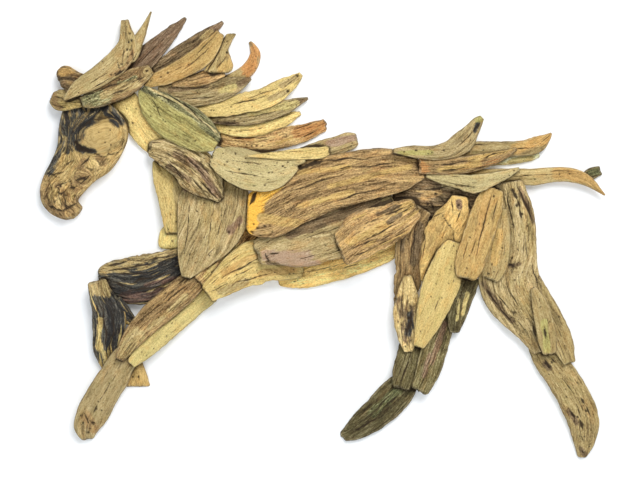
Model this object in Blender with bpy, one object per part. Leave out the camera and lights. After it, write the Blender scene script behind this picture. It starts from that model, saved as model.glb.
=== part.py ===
"""A galloping horse for a wall, built up from pieces of driftwood.

The relief is made the way the real one is: on a flat bench, one piece of wood after another is laid on
those already there and fixed where it comes to rest. The bench is the wall plane, Y = 0. The viewer
stands at -Y, the horse looks towards -X, and +Z is up. Lengths are in metres.

The outlines are drawn on a squared template whose squares run to the right and down. A station on a
piece is (right, down, half width), all in squares. A piece tapers, so its thickness follows its width.
"""

import bpy
import bmesh
import numpy as np
from mathutils import Matrix

# Driving sizes
HORSE_LENGTH = 0.91        # lips to the end of the tail
TEMPLATE_LENGTH = 569      # the same length, in squares of the template
HANGING_POINT = (290, 172)  # the square where the origin lies, behind the withers
SLIVER = 0.006             # thickness of the thinnest splinters
STRIP = 0.009              # thickness of the locks of the mane and the strands of the tail
PLANK = 0.012              # thickness of the leg and belly pieces
SLAB = 0.016               # thickness of the broad pieces of the body
LOG = 0.024                # thickness of the raised forearm
BLOCK = 0.034              # thickness of the root burl that is the head
CHEEK_HEIGHT = 0.010       # how far the cheek stands out of the head
EYE_DEPTH = 0.007          # how deep the eye slit is cut into the head
SEAT_GAP = 0.0003          # what stays free between two pieces that touch
END_WEAR = 0.4             # the share of its thickness that a piece has lost at its ends
THINNEST = 0.0022          # no tip is thinner than this
STEEPEST_LEAN = 0.20       # a piece is laid no steeper than this, as a rise over its run

SQUARE = HORSE_LENGTH / TEMPLATE_LENGTH
SPAN_STEPS = 2             # rings for each span between two stations

# One cross-section, as shares of half width and of thickness. Split driftwood is flat behind,
# rounded at its worn edges and gently crowned in front.
SECTION = (
    (-0.82, 0.00),
    (0.82, 0.00),
    (1.00, 0.34),
    (0.70, 0.86),
    (0.00, 1.00),
    (-0.70, 0.86),
    (-1.00, 0.34),
)

# Colour, roughness of each kind of wood. None of them is metallic.
WOODS = {
    "straw_wood": ((0.66, 0.50, 0.22), 0.78),
    "honey_wood": ((0.60, 0.38, 0.15), 0.74),
    "tan_wood": ((0.47, 0.34, 0.17), 0.82),
    "grey_tan_wood": ((0.36, 0.28, 0.16), 0.86),
    "brown_wood": ((0.27, 0.18, 0.10), 0.88),
    "dark_wood": ((0.14, 0.10, 0.065), 0.90),
    "green_wood": ((0.35, 0.34, 0.13), 0.84),
    "olive_bark": ((0.16, 0.14, 0.065), 0.92),
    "charred_wood": ((0.05, 0.045, 0.035), 0.85),
    "burl_wood": ((0.42, 0.30, 0.15), 0.84),
}

pile = []                  # the pieces laid so far, as (points, triangles) in the world


def clear_scene():
    """Removes what the scene opens with."""
    for obj in list(bpy.data.objects):
        bpy.data.objects.remove(obj)


def wood_material(name, wood):
    """The finish of one piece, from the kind of wood it is."""
    colour, roughness = WOODS[wood]
    material = bpy.data.materials.new(name)
    material.use_nodes = True
    shader = material.node_tree.nodes["Principled BSDF"]
    shader.inputs["Base Color"].default_value = (*colour, 1.0)
    shader.inputs["Roughness"].default_value = roughness
    shader.inputs["Metallic"].default_value = 0.0
    return material


def smooth_stations(stations):
    """Points along a smooth curve through the stations, SPAN_STEPS for each span (Catmull-Rom)."""
    known = np.array(stations, float)
    before = 2 * known[0] - known[1]
    after = 2 * known[-1] - known[-2]
    knots = np.vstack([before, known, after])
    share = np.arange(SPAN_STEPS)[:, None] / SPAN_STEPS
    spans = []
    for a, b, c, d in zip(knots, knots[1:], knots[2:], knots[3:]):
        spans.append(
            0.5 * (2 * b + (c - a) * share + (2 * a - 5 * b + 4 * c - d) * share**2
                   + (3 * b - a - 3 * c + d) * share**3)
        )
    curve = np.vstack([*spans, known[-1]])
    curve[:, 2] = np.maximum(curve[:, 2], known[:, 2].min())
    return curve


def loft(stations, thickness):
    """A bmesh carried along the stations: one section at each point of the curve, closed at both ends.

    The back lies in the wall plane, and the thickness at a point is the piece's thickness times
    the square root of its share of the piece's greatest width.
    """
    curve = smooth_stations(stations)
    centre = np.column_stack(
        [(curve[:, 0] - HANGING_POINT[0]) * SQUARE, (HANGING_POINT[1] - curve[:, 1]) * SQUARE]
    )
    half_width = curve[:, 2] * SQUARE
    run = np.gradient(centre, axis=0)
    run /= np.linalg.norm(run, axis=1)[:, None]
    across = np.column_stack([run[:, 1], -run[:, 0]])
    share_along = np.linspace(-1, 1, len(curve))
    worn = 1 - END_WEAR * share_along**4
    depth = np.maximum(thickness * worn * np.sqrt(half_width / half_width.max()), THINNEST)
    mesh = bmesh.new()
    rings = []
    for middle, side, wide, thick in zip(centre, across, half_width, depth):
        ring = []
        for share_across, share_out in SECTION:
            x, z = middle + side * wide * share_across
            ring.append(mesh.verts.new((x, -thick * share_out, z)))
        rings.append(ring)
    count = len(SECTION)
    for first, second in zip(rings, rings[1:]):
        for k in range(count):
            following = (k + 1) % count
            mesh.faces.new((first[k], first[following], second[following], second[k]))
    mesh.faces.new(rings[0])
    mesh.faces.new(rings[-1])
    bmesh.ops.recalc_face_normals(mesh, faces=mesh.faces)
    bmesh.ops.triangulate(mesh, faces=mesh.faces)
    return mesh


def mesh_object(name, shape, collection):
    """An object from a bmesh, which is used up."""
    mesh = bpy.data.meshes.new(name)
    shape.to_mesh(mesh)
    shape.free()
    obj = bpy.data.objects.new(name, mesh)
    collection.objects.link(obj)
    return obj


def helper_object(name, shape):
    """A shape that another piece is joined with or cut by, and that is no piece itself."""
    obj = mesh_object(name, shape, cutters)
    obj.hide_render = True
    obj.display_type = "WIRE"
    return obj


def combine(obj, other, operation):
    """Applies a Boolean of obj with a helper, so that the piece can be laid as one solid."""
    modifier = obj.modifiers.new(operation.lower(), "BOOLEAN")
    modifier.operation = operation
    modifier.object = other
    graph = bpy.context.evaluated_depsgraph_get()
    joined = bpy.data.meshes.new_from_object(obj.evaluated_get(graph))
    obj.modifiers.clear()
    obj.data = joined


def solid_of(obj):
    """The object's points and triangles as arrays."""
    mesh = obj.data
    mesh.calc_loop_triangles()
    points = np.empty(len(mesh.vertices) * 3, np.float32)
    mesh.vertices.foreach_get("co", points)
    triangles = np.empty(len(mesh.loop_triangles) * 3, np.int32)
    mesh.loop_triangles.foreach_get("vertices", triangles)
    return points.reshape(-1, 3).astype(float), triangles.reshape(-1, 3)


def edges_of(triangles):
    """Each edge of the triangles once."""
    ends = np.concatenate([triangles[:, [0, 1]], triangles[:, [1, 2]], triangles[:, [2, 0]]])
    return np.unique(np.sort(ends, axis=1), axis=0)


def cross(first, second):
    """The cross product of plane vectors held in the last axis."""
    return first[..., 0] * second[..., 1] - first[..., 1] * second[..., 0]


def rises_at_points(points, base, triangles):
    """Where a point lies over or under a triangle: its plane place, and how far out the triangle is of it."""
    flat = points[:, [0, 2]][:, None]
    a, b, c = (base[triangles[:, k]] for k in range(3))
    a2, b2, c2 = a[:, [0, 2]], b[:, [0, 2]], c[:, [0, 2]]
    area = cross(b2 - a2, c2 - a2)
    area = np.where(np.abs(area) < 1e-12, np.inf, area)
    share_b = cross(flat - a2, c2 - a2) / area
    share_c = cross(b2 - a2, flat - a2) / area
    inside = (share_b >= 0) & (share_c >= 0) & (share_b + share_c <= 1) & np.isfinite(area)
    hit, on = np.nonzero(inside)
    out = -(a[on, 1] + share_b[hit, on] * (b[on, 1] - a[on, 1]) + share_c[hit, on] * (c[on, 1] - a[on, 1]))
    return points[hit][:, [0, 2]], out + points[hit, 1]


def rises_at_crossings(points, edges, base, base_edges):
    """Where an edge of the piece crosses one of the base, seen from the front: place and rise."""
    p = points[edges[:, 0]][:, None]
    r = (points[edges[:, 1]] - points[edges[:, 0]])[:, None]
    q = base[base_edges[:, 0]][None]
    s = (base[base_edges[:, 1]] - base[base_edges[:, 0]])[None]
    flat_r, flat_s = r[..., [0, 2]], s[..., [0, 2]]
    between = (q - p)[..., [0, 2]]
    slant = cross(flat_r, flat_s)
    slant = np.where(np.abs(slant) < 1e-14, np.inf, slant)
    along = cross(between, flat_s) / slant
    beyond = cross(between, flat_r) / slant
    hits = np.nonzero((along >= 0) & (along <= 1) & (beyond >= 0) & (beyond <= 1) & np.isfinite(slant))
    i, j = hits
    here = p[i, 0] + along[hits][:, None] * r[i, 0]
    there = q[0, j] + beyond[hits][:, None] * s[0, j]
    return here[:, [0, 2]], here[:, 1] - there[:, 1]


def supports_under(points, triangles):
    """Every place where the piece could touch the wall or the pile, and how far out it must be there.

    Two faceted surfaces are nearest at a corner of one over a face of the other, or where two of
    their edges cross, so these places are all that is needed.
    """
    edges = edges_of(triangles)
    low, high = points.min(axis=0), points.max(axis=0)
    places, rises = [points[:, [0, 2]]], [points[:, 1]]
    for base, base_triangles in pile:
        base_low, base_high = base.min(axis=0), base.max(axis=0)
        if (low[[0, 2]] > base_high[[0, 2]]).any() or (high[[0, 2]] < base_low[[0, 2]]).any():
            continue
        under_corners = rises_at_points(points, base, base_triangles)
        place, fall = rises_at_points(base, points, triangles)
        crossings = rises_at_crossings(points, edges, base, edges_of(base_triangles))
        places += [under_corners[0], place, crossings[0]]
        rises += [under_corners[1] + SEAT_GAP, SEAT_GAP - fall, crossings[1] + SEAT_GAP]
    return np.vstack(places), np.concatenate(rises)


def resting_plane(places, rises, balance):
    """(rise to the right, rise upwards, rise at the balance point) of a piece that has come to rest.

    A piece settles until its balance point is as near the wall as its supports allow. For a given
    lean the supports fix how near that is, so the lean is searched on a grid that grows finer.
    """
    run = places - balance
    best = np.zeros(2)
    reach = STEEPEST_LEAN
    steps = np.linspace(-1, 1, 9)
    for _ in range(9):
        leans = best + reach * np.stack(np.meshgrid(steps, steps), axis=-1).reshape(-1, 2)
        leans = np.clip(leans, -STEEPEST_LEAN, STEEPEST_LEAN)
        needed = (rises - leans @ run.T).max(axis=1)
        best = leans[np.argmin(needed + 1e-7 * np.abs(leans).sum(axis=1))]
        reach *= 0.4
    return *best, (rises - run @ best).max()


def lay(obj, wood):
    """Lays a piece on the pile: it leans and moves out until it clears what is below it by SEAT_GAP."""
    points, triangles = solid_of(obj)
    places, rises = supports_under(points, triangles)
    balance = points[:, [0, 2]].mean(axis=0)
    rightwards, upwards, out = resting_plane(places, rises, balance)
    if len(places) == len(points):
        rightwards, upwards, out = 0.0, 0.0, 0.0
    lean = Matrix.Identity(4)
    lean[1][0], lean[1][2] = -rightwards, -upwards
    lean[1][3] = rightwards * balance[0] + upwards * balance[1] - out
    obj.data.transform(lean)
    obj.data.materials.clear()
    obj.data.materials.append(wood_material(obj.name, wood))
    obj.data.shade_smooth()
    obj.data.set_sharp_from_angle(angle=0.9)
    obj.parent = horse
    pile.append(solid_of(obj))


def piece(name, wood, thickness, *stations, branch=None):
    """One piece of wood, with a branch of its own where it forks, laid on the pile."""
    obj = mesh_object(name, loft(stations, thickness), body)
    if branch:
        combine(obj, helper_object(name + "_branch", loft(branch, thickness * 0.9)), "UNION")
    lay(obj, wood)


def tail():
    """The strands of the tail that lie against the wall."""
    piece("tail_knob", "olive_bark", STRIP, (568, 182, 5), (584, 177, 5.5), (596, 172.5, 5.5), (605.5, 170, 3.5))
    piece("tail_long_strand", "tan_wood", PLANK, (452, 178, 7), (480, 177, 8.5), (510, 175.8, 8.3),
          (535, 176.5, 8.6), (556, 174.2, 7.6), (574, 175, 7.2), (590, 181, 5.6), (607, 195, 1))
    piece("tail_short_strand", "straw_wood", SLIVER, (478, 160, 5), (497, 158.5, 5.5), (515, 157, 5.5),
          (530, 155, 5.5), (542, 153.5, 3))
    piece("tail_pointed_strand", "honey_wood", STRIP, (455, 152, 7), (480, 149, 8), (502, 148.5, 7.5),
          (525, 147.5, 7), (541, 142.5, 7.5), (554, 132, 1))


def trailing_hind_leg():
    """The hind leg that pushes off, at the right."""
    piece("trailing_hind_foot", "tan_wood", SLAB, (536, 338, 9), (549, 357, 15), (561, 374, 15.5),
          (572.5, 392, 15.8), (581.5, 410, 16), (586.5, 427, 14.8), (586.5, 444, 10.5), (584, 460, 3.5))
    piece("trailing_shank_splint", "tan_wood", STRIP, (535, 272, 4), (541.5, 290, 7), (550, 308, 9),
          (558, 326, 10), (565, 345, 10), (571, 364.5, 6))
    piece("trailing_leg_plank", "grey_tan_wood", SLAB, (512, 181, 11), (516, 208, 16), (518, 232, 17.5),
          (517.5, 254, 19.5), (511, 278, 29.5), (517, 301, 26), (527.5, 319, 19.5), (537, 336, 14),
          (544, 352, 9))
    piece("trailing_shank_leaf", "grey_tan_wood", SLIVER, (533, 287, 3), (539, 303, 7.5), (544, 321, 9),
          (548, 339, 9.5), (550, 355, 6))


def leading_hind_leg():
    """The hind leg that reaches forward, with the pieces of its thigh."""
    piece("leading_hind_foot", "olive_bark", SLAB, (413, 376, 9), (404, 387, 14), (394, 398, 16),
          (381, 411, 15.5), (366, 423.5, 13.5), (352, 433.5, 9.5), (341.5, 439.5, 4))
    piece("hock_left_bark", "olive_bark", PLANK, (420, 330, 9), (413, 345, 12), (410, 359, 12.5),
          (405, 374, 12), (401, 390, 8))
    piece("hock_right_bark", "olive_bark", PLANK, (452, 308, 8), (445, 322, 10.5), (440, 337, 11.5),
          (434, 353, 12.5), (428, 372, 12), (419, 393, 8.5))
    piece("thigh_back_bark", "olive_bark", STRIP, (474, 276, 8), (467.5, 290, 10), (461, 305, 10),
          (456.5, 320, 8.5), (455, 334, 4.5))
    piece("thigh_brown_plank", "dark_wood", PLANK, (424, 208, 10), (416, 222, 12), (411, 240, 14.5),
          (410.5, 262, 14.5), (408, 284, 13), (405, 304, 10), (403, 322, 5))
    piece("knee_knot", "tan_wood", STRIP, (408, 275, 4), (408, 291, 9.5), (406.5, 309, 12),
          (407, 327, 12), (408, 342, 8), (409, 353, 3.5))
    piece("hip_plate", "honey_wood", STRIP, (459, 195, 8), (456.5, 211, 14), (447.5, 229, 20.5),
          (440, 247, 18), (432.5, 264, 13), (425, 283, 5))
    piece("thigh_oval", "straw_wood", PLANK, (455, 241, 7), (450, 256, 14), (445, 274, 17.5),
          (438, 294, 17.5), (431, 314, 14.5), (424, 333, 10), (418, 348, 5))
    piece("thigh_narrow_strip", "tan_wood", STRIP, (503, 208, 5), (501, 228, 9), (498, 248, 11.5),
          (495, 266, 12.5), (490, 280, 8))
    piece("thigh_broad_strip", "honey_wood", PLANK, (495, 187, 8), (489, 205, 12.5), (481, 228, 13.5),
          (474, 250, 13.5), (468, 268, 12.5), (465, 279, 8))


def mane():
    """The locks of the mane against the wall, each laid over the edge of the one below it."""
    piece("mane_lock_12", "grey_tan_wood", STRIP, (300, 152, 5), (322, 148.5, 8.5), (338, 144, 8.5),
          (350, 140, 8.5), (358, 138, 5))
    piece("mane_lock_10", "honey_wood", STRIP, (216, 138, 6), (234, 142, 8), (256, 143, 9.5),
          (280, 137.5, 10), (304, 131.5, 8.5), (327.5, 122.5, 5.5))
    piece("mane_lock_09", "straw_wood", STRIP, (209, 121, 5.5), (227, 126.5, 7), (249, 127.5, 8.5),
          (270, 123, 8), (288, 116.5, 5.8), (300.5, 111.5, 2))
    piece("mane_lock_08", "grey_tan_wood", STRIP, (199, 113, 4.5), (217, 117.5, 5.5), (240, 118, 6.5),
          (265, 113, 7.5), (287, 105, 6.5), (308, 97, 1.3))
    piece("mane_lock_07", "straw_wood", STRIP, (187, 104, 4.5), (205, 108.5, 7.5), (226, 106.5, 9.5),
          (246, 101.5, 10.5), (266, 96, 10.5), (281, 87.5, 9.5), (293, 79, 6.5), (301, 72, 2.5))
    piece("mane_hook", "honey_wood", STRIP, (196, 82, 6), (220, 76.5, 7), (238, 70, 8.5),
          (251, 61.5, 9.5), (256.5, 51, 6), (249.5, 39.5, 1.2))
    piece("mane_lock_06", "grey_tan_wood", STRIP, (156, 89.5, 6), (172, 92.5, 10), (190, 94.5, 11.5),
          (208, 91.5, 12), (226, 87, 10.5), (240, 82, 6.5), (250.5, 77, 1.5))
    piece("mane_lock_05", "brown_wood", SLIVER, (170, 81.5, 4), (190, 80, 6), (208, 75.5, 7), (224, 70, 4.5))
    piece("mane_lock_02", "dark_wood", STRIP, (144, 73, 5), (161, 63.5, 7), (179, 53.5, 9.5),
          (196, 42, 9), (209, 30.5, 6), (222, 19.5, 1.8))
    piece("mane_lock_01", "brown_wood", STRIP, (127, 74, 8), (137, 64, 11), (147, 53.5, 11.5),
          (160, 40.5, 9), (172, 28.5, 6.5), (184.5, 15.5, 1.5))
    piece("mane_lock_04", "tan_wood", STRIP, (208, 72, 6), (219, 61, 11.5), (225.5, 46, 7),
          (232, 30.5, 5))
    piece("mane_lock_03", "honey_wood", STRIP, (142, 83, 5), (162, 76.5, 8), (182, 67.5, 9.5),
          (198, 58.5, 10.5), (210, 46, 9), (220.5, 31.5, 4.5))


def forelegs():
    """The raised foreleg against the wall, and the reaching one over it."""
    piece("chest_block", "honey_wood", PLANK, (176, 222, 8), (170, 236, 12), (167.5, 250, 10))
    piece("raised_forearm", "charred_wood", LOG, (95.5, 277, 8), (108, 277, 16), (130, 281, 24),
          (150, 277.5, 24), (170, 269, 19.5), (192, 260, 15))
    piece("raised_shin", "charred_wood", SLAB, (96, 280, 9), (101, 297, 12), (108, 315, 16.5),
          (107.5, 335, 15.5), (105.5, 352, 13), (108, 373, 6),
          branch=((112, 300, 8), (123, 315, 8), (134.5, 324, 4)))
    piece("raised_hoof", "honey_wood", STRIP, (133, 360, 6), (135, 374, 9), (135, 388.5, 13.5))
    piece("reaching_shin", "grey_tan_wood", SLAB, (146, 330, 7), (134, 345, 10), (122, 362, 13),
          (112, 379, 14.5), (101, 397, 15), (91.5, 414, 15), (85, 429, 12.5), (86, 442, 5))
    piece("forearm_yellow_strip", "straw_wood", PLANK, (211, 293, 9), (192, 307.5, 10), (175, 322, 10),
          (158, 337, 10), (143, 351, 9), (130, 365, 4.5))
    piece("forearm_brown_strip", "grey_tan_wood", PLANK, (207, 268, 10), (190, 284, 12.5),
          (172, 300, 13.5), (154, 315, 13), (139, 330.5, 11), (127, 346.5, 8.5), (119, 360, 4))
    piece("shoulder_sliver", "dark_wood", STRIP, (257, 225, 6), (244, 237, 9), (231, 250, 9.5),
          (218, 263, 8.5), (207, 274, 8), (199, 282, 5))


def belly():
    """The brisket and the planks under the belly."""
    piece("brisket", "straw_wood", PLANK, (207, 294, 9.5), (222, 283, 14), (238, 271, 18.5),
          (254, 263, 22), (270, 262, 20), (287, 269, 12), (304, 272.5, 4.5))
    piece("belly_plank", "brown_wood", PLANK, (256, 254, 11), (276, 246, 20), (300, 242, 25),
          (322, 235, 27), (346, 228, 27), (372, 218, 26), (398, 206, 20))
    piece("flank_slab", "tan_wood", SLAB, (342, 251, 9), (355, 241, 17), (373, 229, 19),
          (391, 217.5, 18), (408, 206, 11), (419, 202, 4))


def chest_and_back():
    """The neck's front edge, the chest and the long slab of the back."""
    piece("chest_strip", "straw_wood", PLANK, (156, 158, 6), (164.5, 178, 12), (171, 198, 13),
          (173.5, 215, 12), (174, 234, 9))
    piece("neck_front_strip", "straw_wood", PLANK, (118, 93, 13), (131, 113, 14), (140.5, 126, 14),
          (150.5, 139, 13), (160, 152, 8))
    piece("chest_slab", "grey_tan_wood", SLAB, (217, 176, 24), (215, 200, 35), (208.5, 228, 32),
          (198, 250, 22), (190, 267, 12), (186, 278, 4))
    piece("back_slab", "brown_wood", SLAB, (247, 213, 18), (264, 212, 27), (290, 197.5, 29),
          (320, 185.5, 28), (350, 178, 26), (380, 172.5, 24.5), (406, 170.5, 19), (425, 170, 8))


def tail_root():
    """The front pieces of the tail, laid over the back and the hip."""
    piece("tail_root_leaf", "green_wood", STRIP, (426, 175.5, 1.8), (443, 179, 5), (460, 181.5, 7),
          (475, 184, 9), (490, 180, 6.5), (505, 175, 4.5), (520, 168, 1.5))
    piece("tail_splintered_strand", "brown_wood", STRIP, (418, 166, 7), (440, 166, 7.5), (462, 165, 8),
          (482, 161, 7), (500, 156, 5), (518, 148, 1.5))
    piece("tail_horned_strand", "grey_tan_wood", PLANK, (393, 151, 2), (412, 151.5, 5.5),
          (432, 153, 6.5), (450, 149.5, 8.5), (463.5, 141, 10), (472, 131, 7.5), (479, 121, 5),
          (484, 116, 2.5))


def neck():
    """The rough neck slab, the pad on the withers, and the long leaf over the roots of the mane."""
    piece("neck_slab", "brown_wood", SLAB, (147, 148, 7), (163, 151, 14), (182, 159, 18),
          (197, 172, 21), (210, 186, 15), (221, 201, 3.5))
    piece("withers_pad", "green_wood", PLANK, (211, 155, 8), (225, 161, 15), (243, 168, 19),
          (262, 173, 18.5), (280, 171, 14.5), (297, 164.5, 5))
    piece("mane_lock_11", "straw_wood", SLIVER, (226, 149, 2.5), (248, 153, 4.5), (275, 155, 5.5),
          (300, 153.5, 7.5), (318, 151.5, 7.5), (330, 151, 5))
    piece("neck_leaf", "green_wood", PLANK, (140, 87, 4), (151, 101, 13), (166, 114, 18),
          (184, 125, 19), (203, 136, 16), (218, 145, 7))


def head():
    """The root burl of the head, with its cheek and eye slit, under the ears and the forelock."""
    muzzle_and_brow = ((90, 103, 19), (90, 118, 32), (92.5, 134, 36), (85, 151, 33), (73, 167, 27),
                       (61.5, 186, 23.5), (61.5, 203, 21.5), (68.5, 217, 12.5))
    skull = mesh_object("head", loft(muzzle_and_brow, BLOCK), body)
    cheek = loft(((104, 112, 10), (106, 121, 20), (105, 134, 22), (101, 146, 19), (96, 155, 10)),
                 BLOCK + CHEEK_HEIGHT)
    combine(skull, helper_object("cheek", cheek), "UNION")
    slit = loft(((76, 144, 1.5), (84, 147.5, 2.6), (94, 151, 1.2)), EYE_DEPTH * 2)
    slit_cutter = helper_object("eye_slit", slit)
    slit_cutter.data.transform(Matrix.Translation((0, EYE_DEPTH - BLOCK, 0)))
    combine(skull, slit_cutter, "DIFFERENCE")
    lay(skull, "burl_wood")
    piece("brow_stub", "tan_wood", STRIP, (48.5, 96, 4.5), (56, 98.5, 10), (66, 100, 10), (80, 101, 6),
          (92, 99, 3))
    piece("ear_knob", "brown_wood", SLAB, (57, 81, 6), (63, 78.5, 13), (71, 79, 11), (79, 79, 7),
          (92, 80, 4))
    piece("poll_crest", "olive_bark", PLANK, (81, 103, 4.5), (94, 98.5, 9.5), (108, 92.5, 10.5),
          (122, 86, 11), (137, 76.5, 9.5), (151, 68, 5))
    piece("forelock_fork", "tan_wood", PLANK, (65, 100.5, 1.5), (80, 88, 8.5), (101, 75, 11.5),
          (118, 60.5, 12.5), (126.5, 44, 10), (124.5, 28, 6), (123, 17.5, 3.8),
          branch=((131, 52, 8), (139, 35, 5.5), (144, 23, 3), (149.5, 9, 0.9)))


clear_scene()
body = bpy.data.collections.new("driftwood_horse")
cutters = bpy.data.collections.new("helpers")
for group in (body, cutters):
    bpy.context.scene.collection.children.link(group)
horse = bpy.data.objects.new("horse", None)
body.objects.link(horse)

piece("withers_slab", "dark_wood", PLANK, (240, 178, 12), (262, 174, 15), (290, 172, 16), (320, 170, 14),
      (345, 166, 9))
tail()
piece("hip_burl", "dark_wood", SLAB, (392, 201, 16), (412, 203, 27), (436, 205, 30), (460, 206, 30),
      (495, 208, 24))
piece("belly_strip", "honey_wood", PLANK, (277, 279, 7), (300, 276, 12.5), (322, 271, 13.5),
      (345, 264.5, 13.5), (368, 257.5, 12.5), (388, 249, 11.5), (404, 240, 8))
trailing_hind_leg()
leading_hind_leg()
mane()
forelegs()
belly()
chest_and_back()
tail_root()
neck()
head()
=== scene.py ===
import bpy
import numpy as np
from bpy.props import FloatProperty, FloatVectorProperty, PointerProperty
from bpy.types import Operator, Panel, PropertyGroup
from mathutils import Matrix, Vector
from mathutils.bvhtree import BVHTree


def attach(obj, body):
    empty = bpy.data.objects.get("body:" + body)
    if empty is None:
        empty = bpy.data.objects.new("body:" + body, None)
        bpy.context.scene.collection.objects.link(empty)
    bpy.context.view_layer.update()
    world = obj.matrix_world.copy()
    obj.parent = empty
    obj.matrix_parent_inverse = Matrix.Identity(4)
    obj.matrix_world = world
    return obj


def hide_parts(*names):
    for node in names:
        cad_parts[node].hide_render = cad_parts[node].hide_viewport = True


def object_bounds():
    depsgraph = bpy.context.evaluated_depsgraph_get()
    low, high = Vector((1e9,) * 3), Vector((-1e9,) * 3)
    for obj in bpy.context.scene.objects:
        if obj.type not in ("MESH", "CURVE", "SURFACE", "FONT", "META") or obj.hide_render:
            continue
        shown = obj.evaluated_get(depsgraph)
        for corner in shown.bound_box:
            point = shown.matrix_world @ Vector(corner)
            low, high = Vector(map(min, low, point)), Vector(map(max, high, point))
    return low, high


bl_info = {
    "name": "Driftwood horse",
    "version": (1, 0, 0),
    "blender": (4, 5, 0),
    "location": "3D View > Sidebar > Driftwood",
    "description": "Weathers every slab of a driftwood horse: grain, splits, worm holes and worn ends",
    "category": "Object",
}

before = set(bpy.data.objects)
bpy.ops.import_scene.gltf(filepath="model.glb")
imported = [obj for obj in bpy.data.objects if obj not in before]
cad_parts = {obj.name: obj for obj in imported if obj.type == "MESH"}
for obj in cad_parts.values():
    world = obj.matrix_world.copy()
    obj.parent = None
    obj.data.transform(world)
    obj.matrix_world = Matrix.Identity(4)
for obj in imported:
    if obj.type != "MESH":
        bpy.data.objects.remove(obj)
CAD_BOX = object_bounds()

# The horse is SPAN_PIXELS long in the photograph, which shows the frame's origin at ORIGIN_PIXEL.
# Marks on the wood are given in pixels of the photograph: x to the right, y down.
SPAN_PIXELS = 570
ORIGIN_PIXEL = (290, 172)
PIXEL = (CAD_BOX[1].x - CAD_BOX[0].x) / SPAN_PIXELS
PHOTO_SIZE = (640, 497)

WELD = 1e-6            # corners of a CAD node nearer than this are one corner
SQUARE_ON = 0.02       # a face that leans less than this towards the viewer stands square to the view
STEP_ALONG = 0.0020    # grid step along the grain
STEP_ACROSS = 0.0009   # grid step across the grain
BACK_COLUMNS = 5       # grid columns on the flat back
SIDE_COLUMNS = 3       # grid columns under each rounded side
RIM_HEIGHT = 0.34      # where a slab is widest, as a share of its thickness
FRONT_REACH = 2.6      # about how long the front's curve is, in half widths
FRONT_POWER = 0.36     # how flat the front of a slab is: 1 is a half ellipse, 0 a box
BACK_WIDTH = 0.82      # width of the flat back, as a share of the whole
CELL = 0.001           # size of a cell of the relief that tells which slab lies over which
CELL_MARGIN = 12       # empty cells around the relief
# Painted shade: a seam between slabs is darkened in the colour by how far the pile stands in front of it.
SEAM_SHADE_STARTS = 0.0015   # a seam gets dark where the pile stands this far in front of it
SEAM_SHADE_RANGE = 0.005     # and is as dark as it gets this much further back
SEAM_SHADE_GAIN = 2.2
SEAM_SHADE_RINGS = ((0.0012, 1.0), (0.0026, 0.8), (0.0044, 0.5))   # radius and weight of each ring of places
POINTED_END = 0.004    # an end whose half width is less than this comes to a point
SMALLEST_ROUND = 0.0012
LARGEST_ROUND = 0.0045
GRAIN_APART = 0.37     # step between the grain of one slab and that of the next
WORN_EDGE = 0.0030     # width of the pale worn border along the edges of the front

# The masks that are kept on the points of a slab's mesh and read by its finish.
MASKS = ("hollow", "rim", "under", "patch", "stripe", "calm", "crevice")

# Light, middle and dark tone of each wood, then its roughness.
WOODS = {
    "straw": ((0.84, 0.68, 0.29), (0.68, 0.52, 0.20), (0.34, 0.24, 0.08), 0.70),
    "honey": ((0.76, 0.54, 0.21), (0.60, 0.41, 0.15), (0.30, 0.19, 0.06), 0.70),
    "orange": ((1.00, 0.68, 0.15), (0.98, 0.55, 0.085), (0.66, 0.33, 0.06), 0.66),
    "rust": ((0.76, 0.53, 0.22), (0.58, 0.37, 0.13), (0.28, 0.16, 0.055), 0.72),
    "tan": ((0.70, 0.56, 0.28), (0.50, 0.38, 0.165), (0.22, 0.15, 0.06), 0.76),
    "grey tan": ((0.63, 0.51, 0.28), (0.43, 0.33, 0.155), (0.18, 0.13, 0.055), 0.80),
    "brown": ((0.64, 0.44, 0.19), (0.38, 0.25, 0.11), (0.12, 0.07, 0.025), 0.82),
    "dark": ((0.40, 0.29, 0.16), (0.19, 0.13, 0.065), (0.055, 0.035, 0.016), 0.84),
    "purple": ((0.50, 0.36, 0.23), (0.28, 0.18, 0.105), (0.10, 0.06, 0.035), 0.80),
    "pink": ((0.60, 0.46, 0.33), (0.46, 0.32, 0.21), (0.24, 0.15, 0.09), 0.80),
    "green": ((0.76, 0.64, 0.29), (0.57, 0.47, 0.19), (0.28, 0.21, 0.08), 0.74),
    "leaf": ((0.60, 0.55, 0.21), (0.44, 0.39, 0.14), (0.22, 0.19, 0.06), 0.72),
    "bark": ((0.40, 0.40, 0.20), (0.15, 0.155, 0.065), (0.035, 0.038, 0.018), 0.78),
    "olive": ((0.38, 0.33, 0.17), (0.17, 0.14, 0.058), (0.06, 0.045, 0.016), 0.84),
    "char": ((0.16, 0.15, 0.12), (0.042, 0.041, 0.038), (0.012, 0.012, 0.013), 0.62),
    "pale": ((0.76, 0.65, 0.34), (0.60, 0.50, 0.245), (0.30, 0.235, 0.105), 0.76),
    "copper": ((0.72, 0.42, 0.17), (0.55, 0.28, 0.095), (0.24, 0.11, 0.038), 0.70),
    "burl": ((0.76, 0.58, 0.27), (0.57, 0.41, 0.165), (0.25, 0.165, 0.058), 0.76),
    "moss": ((0.64, 0.60, 0.32), (0.21, 0.20, 0.09), (0.045, 0.045, 0.022), 0.78),
    "plum": ((0.24, 0.15, 0.11), (0.085, 0.048, 0.036), (0.026, 0.014, 0.011), 0.80),
}

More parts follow.
